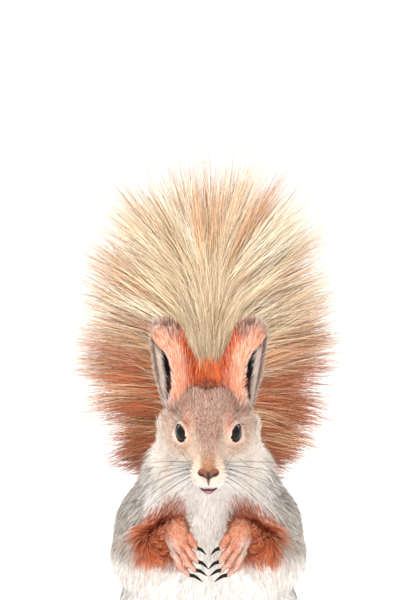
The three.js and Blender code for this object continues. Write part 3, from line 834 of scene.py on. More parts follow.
@dataclass(frozen=True)
class Agouti:
    """How many hairs of a coat are dark or pale at their tips."""

    dark: float
    pale: float
    dark_tip: str = "#5C5049"
    pale_tip: str = "#F3EBE2"
    shares: tuple[tuple[int, float], ...] = ((-1, 0.75), (-2, 0.3))  # of the tip's colour, stop by stop

    def tick(self, colour: Array, random: np.random.Generator) -> Array:
        """Gives some hairs a dark or a pale tip, fewer where the coat is white."""
        draw = random.uniform(size=len(colour))
        ticked = colour.copy()
        dark = self.dark * ramp(0.85, 0.6, colour[:, -1].mean(-1))
        for chosen, tip in ((draw < dark, self.dark_tip), (draw > 1 - self.pale, self.pale_tip)):
            for stop, share in self.shares:
                ticked[chosen, stop] = linear(tip) * share + ticked[chosen, stop] * (1 - share)
        return ticked


def scatter(surface: Surface, weight: Callable[[Array], Array], random: np.random.Generator) -> Array:
    """Scatters points over a surface.

    Args:
        surface: A surface of quads.
        weight: Gives how many points a square millimetre gets at each place.
        random: The source of the places.

    Returns:
        The points, near the surface.
    """
    quads = surface.points[surface.faces[0]]
    triangles = np.concatenate([quads[:, [0, 1, 2]], quads[:, [0, 2, 3]]])
    first, second = triangles[:, 1] - triangles[:, 0], triangles[:, 2] - triangles[:, 0]
    expected = np.linalg.norm(np.cross(first, second), axis=-1) / 2 * weight(triangles.mean(1))
    chosen = random.choice(len(expected), size=int(round(expected.sum())), p=expected / expected.sum())
    a, b = random.uniform(size=(2, len(chosen), 1))
    over = a + b > 1
    a, b = np.where(over, 1 - a, a), np.where(over, 1 - b, b)
    return triangles[chosen, 0] + first[chosen] * a + second[chosen] * b


def around(p: Array, low: float, high: float) -> Array:
    """Unwraps points about the animal's middle line, which leans forwards, with its seam down the back."""
    middle = 12 - 30 * ramp(60, 150, p[:, 2])
    turn = np.arctan2(p[:, 0], middle - p[:, 1]) / (2 * np.pi) + 0.5
    return np.stack([turn, (p[:, 2] - low) / (high - low)], -1).clip(MAP_MARGIN, 1 - MAP_MARGIN)


# ---------------------------------------------------------------- materials


def add_node(
    tree: bpy.types.NodeTree, kind: str, inputs: dict[str | int, object], **settings: object
) -> bpy.types.Node:
    """Adds a node to a material.

    Args:
        tree: The material's nodes.
        kind: The node's type name.
        inputs: A value or a socket to link, for each input by name or number.
        **settings: The node's own settings.

    Returns:
        The new node.
    """
    node = tree.nodes.new(kind)
    for name, value in settings.items():
        setattr(node, name, value)
    for name, value in inputs.items():
        if isinstance(value, bpy.types.NodeSocket):
            tree.links.new(value, node.inputs[name])
        else:
            node.inputs[name].default_value = value
    return node


@dataclass(frozen=True)
class Finish:
    """A finish of a real surface: a mottled colour, a broken gloss and a fine relief."""

    name: str
    colour: str | None  # sRGB hex, or None where the piece carries its markings
    mottle_mm: float  # size of the colour's patches
    mottle: float  # how much they darken it
    roughness: tuple[float, float]
    relief_mm: float  # size of the grain
    relief: float  # its depth, from 0 to 1
    ior: float = 1.5
    specular: float = 0.5
    subsurface: float = 0.0
    subsurface_mm: float = 2.0  # how deep light goes

    def material(self) -> bpy.types.Material:
        """Builds the material, or gives the one built before."""
        if self.name in bpy.data.materials:
            return bpy.data.materials[self.name]
        made = bpy.data.materials.new(self.name)
        made.use_nodes = True
        tree = made.node_tree
        shader = tree.nodes["Principled BSDF"]
        place = add_node(tree, "ShaderNodeTexCoord", {}).outputs["Object"]
        if self.colour:
            tint = (*linear(self.colour), 1.0)
        else:
            tint = add_node(tree, "ShaderNodeAttribute", {}, attribute_name="markings").outputs["Color"]
        noise = "ShaderNodeTexNoise"
        patches = add_node(tree, noise, {"Vector": place, "Scale": 1000 / self.mottle_mm, "Detail": 3.0})
        grain = add_node(tree, noise, {"Vector": place, "Scale": 1000 / self.relief_mm})

        def spread(low: float, high: float) -> bpy.types.NodeSocket:
            """Spreads the patches over a range."""
            limits = {"From Min": 0.3, "From Max": 0.7, "To Min": low, "To Max": high}
            inputs = {"Value": patches.outputs["Fac"], **limits}
            return add_node(tree, "ShaderNodeMapRange", inputs).outputs[0]

        shade = {0: 1.0, 6: tint, 7: spread(1 - self.mottle, 1.0)}
        base = add_node(tree, "ShaderNodeMix", shade, data_type="RGBA", blend_type="MULTIPLY")
        bump = {"Height": grain.outputs["Fac"], "Strength": self.relief, "Distance": self.relief_mm * METRE}
        tree.links.new(base.outputs[2], shader.inputs["Base Color"])
        tree.links.new(spread(*self.roughness), shader.inputs["Roughness"])
        tree.links.new(add_node(tree, "ShaderNodeBump", bump).outputs["Normal"], shader.inputs["Normal"])
        constants = (
            ("IOR", self.ior),
            ("Specular IOR Level", self.specular),
            ("Subsurface Weight", self.subsurface),
            ("Subsurface Scale", self.subsurface_mm * METRE),
        )
        for socket, value in constants:
            shader.inputs[socket].default_value = value
        return made


# The real grain of these skins and hairs is too fine to show in the render, so none is drawn finer than
# 0.4 mm, as coarse as it needs to show.
#
# Skin under fur: dull and pinkish, seen only where the coat parts.
SKIN = Finish("skin", None, 2.5, 0.12, (0.7, 0.9), 0.9, 0.4, specular=0.2)
# Fur: hair of keratin, soft and dull as a mass, with a faint gloss where it lies smooth.
FUR = Finish("fur", None, 1.6, 0.10, (0.6, 0.85), 0.8, 0.05, ior=1.55, specular=0.16)
# Tail hair: longer and coarser, a little glossier than the body's.
TAIL_FUR = Finish("tail_fur", None, 3.0, 0.10, (0.55, 0.8), 0.8, 0.05, ior=1.55, specular=0.18)
# Cornea over a dark brown iris: wet, mirror-smooth and nearly black.
CORNEA = Finish("cornea", None, 1.8, 0.25, (0.03, 0.06), 0.5, 0.0, ior=1.376, specular=0.25)
# Rim of the lids: bare, dark, moist skin.
LID = Finish("lid_rim", "#241815", 0.8, 0.3, (0.3, 0.5), 0.4, 0.3, specular=0.3)
# Nose pad: bare skin with a fine pebble, dull at the top and moist at the lower edge.
NOSE = Finish("nose_skin", None, 1.2, 0.3, (0.3, 0.6), 0.45, 0.6, specular=0.4, subsurface=0.1)
# Lips: soft, moist, purplish skin.
LIP = Finish("lip_skin", None, 1.0, 0.25, (0.35, 0.55), 0.5, 0.4, specular=0.35, subsurface=0.1)
# Claw: dark horn, polished by use.
CLAW = Finish("claw_horn", "#0E0A09", 1.2, 0.4, (0.25, 0.45), 0.6, 0.15, specular=0.15)
# Whisker: a stiff, smooth, dark hair.
WHISKER = Finish("whisker_hair", "#3A2A24", 4.0, 0.3, (0.35, 0.5), 0.8, 0.0, ior=1.55)
# Studio floor: matt white paper.
PAPER = Finish("white_paper", "#F8F7F5", 60.0, 0.01, (0.85, 0.95), 2.0, 0.02, specular=0.1)


# ---------------------------------------------------------------- pieces


class Slot(Enum):
    """The record's finishes."""

    BODY = "body_coat"
    FACE = "face_coat"
    RUFOUS = "rufous_coat"
    TAIL = "tail_coat"
    PAW = "paw"
    EYE = "eye"


def linked(name: str, data: bpy.types.ID) -> bpy.types.Object:
    """Adds an object to the scene for a mesh, a lamp or a camera."""
    made = bpy.data.objects.new(name, data)
    bpy.context.scene.collection.objects.link(made)
    return made


@dataclass(frozen=True)
class Workshop:
    """Turns surfaces into pieces of the model, in metres and in the solids' frame."""

    shift: Point  # from the forms' frame to the solids', in millimetres
    most: int = 190_000  # triangles in a piece of coat
    lowest: float = 0.3  # of the coat above the floor, in millimetres

    def piece(
        self, name: str, surface: Surface, finish: Finish, slot: Slot | None, replaced: Sequence[str] = ()
    ) -> bpy.types.Object:
        """Makes one piece.

        Args:
            name: The piece's name.
            surface: Its surface.
            finish: Its finish.
            slot: The record's finish meant for it, or None for the floor; only whether one is given is used,
                to fasten the piece to the root.
            replaced: The solids that it stands for.

        Returns:
            The new object.
        """
        mesh = bpy.data.meshes.new(name)
        points = ((surface.points + np.array(self.shift)) * METRE).astype(np.float32)
        faces = [group for group in surface.faces if len(group)]
        sizes = np.concatenate([np.full(len(group), group.shape[1]) for group in faces])
        corners = np.concatenate([group.ravel() for group in faces]).astype(np.int32)
        mesh.vertices.add(len(points))
        mesh.vertices.foreach_set("co", points.ravel())
        mesh.loops.add(len(corners))
        mesh.loops.foreach_set("vertex_index", corners)
        mesh.polygons.add(len(sizes))
        starts = np.concatenate([[0], np.cumsum(sizes)[:-1]]).astype(np.int32)
        mesh.polygons.foreach_set("loop_start", starts)
        mesh.polygons.foreach_set("use_smooth", np.ones(len(sizes), bool))
        mesh.update(calc_edges=True)
        if surface.colours is not None:
            colours = np.concatenate([surface.colours, np.ones((len(points), 1))], 1).astype(np.float32)
            marks = mesh.color_attributes.new("markings", "FLOAT_COLOR", "POINT")
            marks.data.foreach_set("color", colours.ravel())
        if surface.normals is not None:
            normals = mesh.attributes.new("custom_normal", "FLOAT_VECTOR", "POINT")
            normals.data.foreach_set("vector", surface.normals.astype(np.float32).ravel())
        if surface.unwrap is not None:
            unwrap = mesh.uv_layers.new(name="OFBake")
            unwrap.data.foreach_set("uv", surface.unwrap[corners].astype(np.float32).ravel())
        mesh.materials.append(finish.material())
        made = linked(name, mesh)
        if slot is not None:
            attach(made, "root")
            if replaced:
                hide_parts(*replaced)
        LOG.info("%s: %d triangles", name, int((sizes - 2).sum()))
        return made

    def coat(
        self, name: str, hairs: Hairs, slot: Slot, random: np.random.Generator, finish: Finish = FUR
    ) -> None:
        """Makes the pieces of one region's coat, each small enough to be handled.

        Args:
            name: The region.
            hairs: Its hairs.
            slot: The record's finish meant for it, passed on to each piece.
            random: The source of the hairs' small differences.
            finish: Its finish.
        """
        count, spans = hairs.line.shape[0], hairs.line.shape[1] - 1
        parts = math.ceil(count * (2 * spans - 1) / self.most)
        for part in range(parts):
            surface = hairs.only(slice(part, None, parts)).surface(random)
            surface.points[:, 2] = np.maximum(surface.points[:, 2], self.lowest)
            self.piece(f"{name}_{part + 1}", surface, finish, slot)


@dataclass
class Skin:
    """The one skin of trunk, limbs and head."""

    animal: Animal
    markings: Markings
    fine: float = 0.62  # net on the face, in millimetres
    coarse: float = 1.6  # net elsewhere
    flesh: str = "#D39A86"
    lowest: float = 0.4  # above the floor
    spans: tuple[tuple[float, float, float, float], ...] = (
        (-52, 52, -16, 16),
        (-62, 58, -62, -22),
        (-2, 186, 122, 168),
    )  # the net's ends and its fine part, on each axis
    surface: Surface = field(init=False)

    def axis(self, low: float, high: float, fine_low: float, fine_high: float) -> Array:
        """Spaces a grid finely between two places and coarsely elsewhere."""
        ends = (low, fine_low, fine_high, high)
        steps = zip(ends, ends[1:], (self.coarse, self.fine, self.coarse))
        parts = [np.linspace(a, b, max(2, round((b - a) / step) + 1))[:-1] for a, b, step in steps if b > a]
        return np.append(np.concatenate(parts), high)

    def build(self) -> None:
        """Draws the net and colours it."""
        net = net_over(self.animal.skin, [self.axis(*span) for span in self.spans])
        points = onto(self.animal.skin, net.points, 2)
        points[:, 2] = np.maximum(points[:, 2], self.lowest)
        stops = self.markings.at(points)
        colours = stops[:, 0] * 0.5 + stops[:, 1] * 0.4 + linear(self.flesh) * 0.1
        self.surface = Surface(points, net.faces, colours)

    def dress(self, shop: Workshop) -> None:
        """Makes the piece."""
        parts = ("upper_arm", "forearm", "haunch", "ear")
        paired = [f"{part}_{side}" for part in parts for side in ("left", "right")]
        shop.piece("skin", self.surface, SKIN, Slot.BODY, ["torso", "neck", "head", *paired])


@dataclass(frozen=True)
class Region:
    """Where one kind of coat grows, and how."""

    name: str
    slot: Slot
    density: Callable[[Array], Array]  # tufts on a square millimetre
    width: float
    agouti: Agouti
    lift: float = 25.0  # off the skin, in degrees
    segments: int = 3
    per_lock: int = 7
    spread: float = 1.3  # of a lock's roots, in millimetres
    gather: float = 0.35  # how far a lock's tips are drawn together


@dataclass
class Coat:
    """The fur of trunk, limbs and head, in locks of thin tufts."""

    animal: Animal
    markings: Markings
    skin: Skin
    lowest_root: float = 0.5  # above the floor
    buried: float = 0.25  # length of a root under the skin
    swing: float = 0.13  # of a lock off the lie, and of a tuft off its lock, in radians
    face_lift: float = 8.0  # added to the region's, in degrees
    crown_lift: float = 36.0
    uneven_lift: float = 0.14
    depths: tuple[float, float] = (0.55, 13.0)  # least and most of the coat's
    lock_lengths: tuple[float, float] = (0.86, 1.08)
    tuft_lengths: tuple[float, float] = (0.75, 1.06)
    tuft_widths: tuple[float, float] = (0.75, 1.2)
    astray: float = 0.5  # how far the colours run into each other, scaled by the place
    lock_tone: float = 0.045  # how much the shade of one lock differs from the next
    height: float = 190.0  # that the map spans
    nose_bare: Ellipsoid = Ellipsoid((0, -28.6, -4.2), (4.5, 3.2, 2.8))  # in the head's frame
    lips_bare: Ellipsoid = Ellipsoid((0, -27.4, -15.2), (3.9, 2.6, 1.7))
    trunk_line: float = 70.0  # height where the coat of chest and back gives way to that of belly and rump

    def grow(self, region: Region, random: np.random.Generator) -> Hairs:
        """Grows the fur of one region.

        Args:
            region: Where and how it grows.
            random: The source of the hair's differences.

        Returns:
            The region's fur.
        """
        animal, per_lock = self.animal, region.per_lock
        near = scatter(self.skin.surface, lambda p: region.density(p) / per_lock, random)
        centres = onto(animal.skin, near, 1)
        count = len(centres)
        lock = np.repeat(np.arange(count), per_lock)
        n = len(lock)
        outward = unit(slope_of(animal.skin, centres))
        lie = animal.lie(centres, outward)
        reach, turn = np.sqrt(random.uniform(size=n)) * region.spread, random.uniform(0, 2 * np.pi, n)
        ahead, aside = reach * np.cos(turn), reach * np.sin(turn)
        offset = lie[lock] * ahead[:, None] + np.cross(outward, lie)[lock] * aside[:, None]
        root = onto(animal.skin, centres[lock] + offset, 2)
        root[:, 2] = np.maximum(root[:, 2], self.lowest_root)
        normal = unit(slope_of(animal.skin, root))
        along = animal.lie(root, normal)
        swing = random.normal(0, self.swing, count)[lock] + random.normal(0, self.swing, n)
        along = unit(along + np.cross(normal, along) * swing[:, None])
        h = animal.head.local(animal.halved(root))
        headward = animal.headward(root)
        upright = animal.upright(h) * headward
        face = ramp(6, -9, h[:, 1]) * headward
        degrees = region.lift + self.face_lift * face + self.crown_lift * upright
        lift = np.radians(degrees) * np.exp(random.normal(0, self.uneven_lift, n))
        depth = np.clip(-animal.outline(root), *self.depths)
        length = depth / np.sin(np.minimum(lift + 0.12 * ramp(4, 9, depth), 1.15)) * (1 + 0.2 * upright)
        length *= random.uniform(*self.lock_lengths, count)[lock] * random.uniform(*self.tuft_lengths, n)
        mixed = 2.4 - 1.6 * animal.headward(centres) * ramp(17, 12, animal.head.local(centres)[:, 2])
        astray = (random.normal(0, self.astray, (count, 3)) * mixed[:, None])[lock]
        stops = self.markings.at(root + normal * depth[:, None] * 0.5 + astray)
        stops *= (1 + random.normal(0, self.lock_tone, count).clip(-0.12, 0.12))[lock, None, None]
        pull = -offset * region.gather
        hairs = Hairs(
            line=bent(root - normal * self.buried, along, normal, length, lift, pull, region.segments),
            outward=normal,
            width=region.width * (0.6 + 0.4 * ramp(0.8, 4.0, depth)) * random.uniform(*self.tuft_widths, n),
            colour=region.agouti.tick(stops, random),
            place=around(root, 0, self.height),
        )
        return hairs.only(self.clear_of_face(hairs.line))

    def clear_of_face(self, line: Array) -> Array:
        """Tells which hairs stay clear of the eyes, the nose pad and the mouth."""
        eye, corners = self.animal.eye, line.shape[1]
        q = self.animal.halved(line.reshape(-1, 3))
        h = self.animal.head.local(q)
        forward, off = eye.off_axis(h)
        before = np.hypot((q[:, 0] - 13.2) / 2.0, (q[:, 2] - self.animal.head.placed(eye.centre)[2]) / 4.0)
        covers = ((forward > 0.5) & (off < 0.98)) | ((before < 1) & (h[:, 1] < eye.centre[1] - 2))
        bare = (self.nose_bare(h) < 0) | (self.lips_bare(h) < 0)
        on_seam = (h[:, 0] < 0.6) & (h[:, 1] < -27) & (h[:, 2] < -5) & (h[:, 2] > -10)
        return ~(covers | bare | on_seam).reshape(-1, corners).any(1)

    def trunk(self, p: Array, front: bool, upper: bool) -> Array:
        """Gives each point's share in a quarter of the trunk.

        Args:
            p: The points.
            front: Whether it is a front quarter, chest or belly.
            upper: Whether it is an upper quarter, chest or back.

        Returns:
            A share for each point.
        """
        body = (1 - self.animal.headward(p)) * (1 - self.animal.on_forearm(p))
        before = ramp(8, 2, p[:, 1])
        low = ramp(self.trunk_line + 2, self.trunk_line - 2, p[:, 2])
        return body * (before if front else 1 - before) * (1 - low if upper else low)

    def crown(self, p: Array) -> Array:
        """Gives each point's share in the upright fur between the ears."""
        h = self.animal.head.local(self.animal.halved(p))
        return self.animal.upright(h) * self.animal.headward(p)

    def nape(self, p: Array) -> Array:
        """Gives each point's share in the back of head and neck, the crown left out."""
        behind = ramp(0, 2, self.animal.head.local(p)[:, 1])
        return self.animal.headward(p) * behind * (1 - self.crown(p))

    def face(self, p: Array) -> Array:
        """Gives each point's share in the face."""
        return self.animal.headward(p) * ramp(2, 0, self.animal.head.local(p)[:, 1])

    def regions(self) -> tuple[Region, ...]:
        """Lists the regions in the order that they grow."""
        arm, crown, nape, face = self.animal.on_forearm, self.crown, self.nape, self.face
        grey = Agouti(0.3, 0.3)
        rusty = Agouti(0.13, 0.2, "#5A2A1A", "#EBB08A")
        orange = Agouti(0.08, 0.15, "#6A2A18", "#F6A070")
        brow = Agouti(0.36, 0.3, "#4E342A", "#EBDACC")
        chest = {"per_lock": 4, "spread": 0.9, "gather": 0.2}
        sleeve = {"lift": 24, "per_lock": 5, "spread": 0.9, "gather": 0.45}
        crest = {"lift": 26, "spread": 1.1, "gather": 0.5}
        short = {"segments": 2, "per_lock": 5, "spread": 0.5}
        body, red, head = Slot.BODY, Slot.RUFOUS, Slot.FACE
        return (
            Region("coat_chest", body, lambda p: 4.4 * self.trunk(p, True, True), 0.30, grey, **chest),
            Region("coat_belly", body, lambda p: 2.4 * self.trunk(p, True, False), 0.38, grey),
            Region("coat_back", body, lambda p: 2.2 * self.trunk(p, False, True), 0.40, grey),
            Region("coat_rump", body, lambda p: 1.5 * self.trunk(p, False, False), 0.48, grey),
            Region("coat_arms", red, lambda p: 5.0 * arm(p), 0.30, rusty, **sleeve),
            Region("coat_nape", head, lambda p: 5.5 * nape(p), 0.36, brow, spread=1.0),
            Region("coat_crown", red, lambda p: 16.0 * crown(p), 0.33, orange, **crest),
            Region("coat_face", head, lambda p: 20.0 * face(p), 0.27, brow, **short),
        )

    def dress(self, shop: Workshop) -> None:
        """Grows every region and makes its pieces."""
        random = np.random.default_rng(RANDOM_SEED)
        for region in self.regions():
            shop.coat(region.name, self.grow(region, random), region.slot, random)


# ---------------------------------------------------------------- eyes, nose, lips, whiskers


@dataclass
class Eyes:
    """The eyeballs and the rims of their lids."""

    animal: Animal
    rings: int = 28
    spokes: int = 40
    bulge: float = 0.02  # of the cornea, as a share of the ball's radius
    rim_radius: float = 0.34
    rim_points: int = 48
    rim_at: float = 0.93  # as a share of the opening

    def ball(self) -> Surface:
        """Draws one eyeball with a bulging cornea, about its look.

        Returns:
            The left eyeball.
        """
        eye = self.animal.eye
        look, along, up = eye.axes()
        tilt = np.linspace(0.001, np.pi - 0.001, self.rings)
        spoke = circle(self.spokes, along, up)
        away = np.cos(tilt)[:, None, None] * look + np.sin(tilt)[:, None, None] * spoke
        radius = eye.radius * (1 + self.bulge * np.exp(-((tilt / 0.7) ** 2)))
        rings = np.array(eye.centre) + away * radius[:, None, None]
        ball = lofted(self.animal.head.placed(rings.reshape(-1, 3)).reshape(rings.shape))
        ball.faces = [group[:, ::-1] for group in ball.faces]
        black, brown = linear("#080606")[None], linear("#1E120D")[None]
        iris = mix(black, brown, ramp(0.5, 0.62, tilt) * ramp(1.1, 0.9, tilt))
        ball.colours = np.repeat(iris, self.spokes, 0)
        return ball

    def rim(self) -> Surface:
        """Draws the rim of the lids round the opening.

        Returns:
            The left eye's rim.
        """
        eye = self.animal.eye
        look, along, up = eye.axes()
        flat = circle(self.rim_points, along * eye.half_length, up * eye.half_height)
        reach = np.sqrt(np.maximum((eye.radius + 0.2) ** 2 - dot(flat, flat) * 0.9**2, 0.2))
        line = self.animal.head.placed(np.array(eye.centre) + flat * self.rim_at + look * reach[:, None])
        ahead = unit(np.roll(line, -1, 0) - np.roll(line, 1, 0))
        out = unit(line - self.animal.head.placed(eye.centre))
        rings = line[:, None] + circle(8, out, np.cross(ahead, out)) * self.rim_radius
        rim = lofted(np.concatenate([rings, rings[:1]]))
        return Surface(rim.points, rim.faces[:1])

    def dress(self, shop: Workshop) -> None:
        """Makes the two eyes and their rims."""
        ball, rim = self.ball(), self.rim()
        shop.piece("eyeball_left", ball, CORNEA, Slot.EYE, ["eye_left"])
        shop.piece("eyeball_right", ball.mirrored(), CORNEA, Slot.EYE, ["eye_right"])
        shop.piece("lid_rims", rim.on_both_sides(), LID, Slot.FACE)


@dataclass(frozen=True)
class Strand:
    """The middle and left half of a lip, or the seam above the lips, in the head's frame."""

    colour: str
    rows: tuple[tuple[float, float, float, float], ...]  # x, y, z and radius
    paired: bool = True  # whether it has a right half


UPPER_LIP = Strand(
    "#3A1E22",
    ((0, -28.0, -14.0, 0.4), (1.3, -27.8, -14.5, 0.42), (2.6, -27.0, -14.8, 0.4), (4.0, -25.8, -14.7, 0.2)),
)
LOWER_LIP = Strand(
    "#A8707A",
    ((0, -27.4, -15.7, 1.15), (1.2, -27.1, -15.6, 1.05), (2.3, -26.5, -15.3, 0.7), (3.3, -25.8, -15, 0.25)),
)
SEAM = Strand(
    "#7A5458",
    ((0, -30.0, -6.5, 0.75), (0, -29.9, -7.8, 0.6), (0, -29.6, -9.2, 0.42), (0, -29.1, -10.5, 0.15)),
    paired=False,
)


@dataclass
class NoseAndLips:
    """The bare nose pad with its nostrils and cleft, and the lips."""

    animal: Animal
    net: float = 0.25
    set_at: Point = (0.0, 0.3, 0.9)  # the pad, from where its forms are given
    strands: tuple[Strand, ...] = (UPPER_LIP, LOWER_LIP, SEAM)
    strand_points: int = 25

    def pad_form(self, p: Array) -> Array:
        """Gives the distance from the nose pad, with its nostrils and cleft."""
        h = self.animal.head.local(self.animal.halved(p)) - np.array(self.set_at)
        top = Ellipsoid((0, -27.6, -3.3), (2.6, 2.8, 2.5))
        wing = Ellipsoid((2.7, -28.0, -4.9), (2.2, 2.3, 1.7))
        lower = Ellipsoid((0, -28.5, -5.8), (2.3, 2.1, 2.2))
        nostrils = limb([(1.6, -31.0, -4.4), (3.5, -29.9, -5.0), (4.9, -28.4, -4.2)], [0.42, 0.68, 0.4])
        cleft = Bar((0, -31.4, -3.0), (0, -30.8, -8.0), 0.22, 0.5)
        cuts = np.minimum(fused(nostrils, h, 0.3), cleft(h))
        return np.maximum(fused((top, wing, lower), h, 1.3), -cuts)

    def pad(self) -> Surface:
        """Draws the nose pad, brown above and plum below, with painted shade in its nostrils and cleft.

        Returns:
            The coloured pad.
        """
        middle = self.animal.head.placed((0, -29, -4))
        net = net_over(self.pad_form, [np.arange(a - 7.1, a + 7, self.net) for a in middle])
        points = onto(self.pad_form, net.points, 2)
        x, y, z = (self.animal.head.local(points) - np.array(self.set_at)).T
        tints = ("#7C4524", "#9A683E", "#5E393C", "#A6807C", "#1C0E0C")
        brown, tan, plum, pink, dark = (linear(tint)[None] for tint in tints)
        # painted shade: the cleft and the nostrils are darkened towards the near-black last tint
        cleft_shade = ramp(1.1, 0.4, np.abs(x)) * ramp(-2.0, -3.6, z)
        hollow_shade = np.maximum(cleft_shade, ramp(1.3, 0.5, np.hypot((np.abs(x) - 3.3) / 1.5, z + 4.8)))
        colour = mix(brown, tan, ramp(-3.2, -1.0, z))
        colour = mix(colour, plum, ramp(-4.0, -5.6, z))
        colour = mix(colour, pink, 0.8 * ramp(-6.4, -7.4, z))
        colour = mix(colour, dark, 0.9 * hollow_shade * ramp(-27.5, -29, y))
        return Surface(points, net.faces, colour)

    def drawn(self, strand: Strand) -> Surface:
        """Draws a lip or the seam.

        Args:
            strand: The lip or the seam.

        Returns:
            A tube along it.
        """
        rows = np.array(strand.rows, float)
        if strand.paired:
            rows = np.concatenate([rows[:0:-1] * [-1.0, 1, 1, 1], rows])
        count = self.strand_points
        line = smooth_line(self.animal.head.placed(rows[:, :3]), count)
        radius = np.interp(np.linspace(0, 1, count), np.linspace(0, 1, len(rows)), rows[:, 3])
        made = tube(line, radius, broad=(0, 0, 1) if strand.paired else (1, 0, 0))
        made.colours = np.repeat(linear(strand.colour)[None], len(made.points), 0)
        return made

    def dress(self, shop: Workshop) -> None:
        """Makes the pad and the lips."""
        shop.piece("nose_pad", self.pad(), NOSE, Slot.FACE)
        lips = reduce(Surface.joined_to, [self.drawn(strand) for strand in self.strands])
        shop.piece("lips", lips, LIP, Slot.FACE)


@dataclass
class Whiskers:
    """Stiff hairs on the whisker pads, brows and cheeks."""

    animal: Animal
    rows: int = 4
    columns: int = 4
    thickness: float = 0.1  # radius at the root, in millimetres

    def dress(self, shop: Workshop) -> None:
        """Makes every whisker of both sides."""
        random = np.random.default_rng(RANDOM_SEED + 1)
        plans = []
        for row, column in np.ndindex(self.rows, self.columns):
            root = (6.5, -24.0 + 2.1 * column, -5.4 - 1.9 * row)
            heading = np.array([1.0, -0.30 + 0.20 * column, 0.06 - 0.2 * row]) + random.normal(0, 0.06, 3)
            plans.append((root, heading, random.uniform(20, 34) + 2.5 * column, (0, 5, -5 - 2.6 * row)))
        plans += [
            ((9.5, -9, 10), (0.5, -0.5, 0.7), 15, (3, 3, 1)),  # brow
            ((8, -10, 9.5), (0.35, -0.7, 0.5), 11, (3, 2, 1)),
            ((11, -13, -4.5), (-0.45, -0.75, -0.5), 13, (-1, -1, -4)),  # under the eye
            ((13, -9, -8.5), (0.8, -0.3, -0.6), 17, (3, 2, -4)),  # cheek
        ]
        made = []
        s = np.linspace(0, 1, 12)
        for side in (-1, 1):
            for local, heading, length, sag in plans:
                root = onto(self.animal.outline, self.animal.head.placed(local)[None], 3)[0]
                way = unit(np.array(heading) + random.normal(0, 0.03, 3))
                bow = np.array(sag, float) * random.uniform(0.7, 1.3)
                line = root + way * (length * s - 0.8)[:, None] + bow * (s**2)[:, None]
                hair = tube(line, self.thickness * (1 - 0.85 * s), sides=4, broad=(0, 0, 1))
                made.append(hair if side > 0 else hair.mirrored())
        shop.piece("whiskers", reduce(Surface.joined_to, made), WHISKER, Slot.FACE)


# ---------------------------------------------------------------- ears


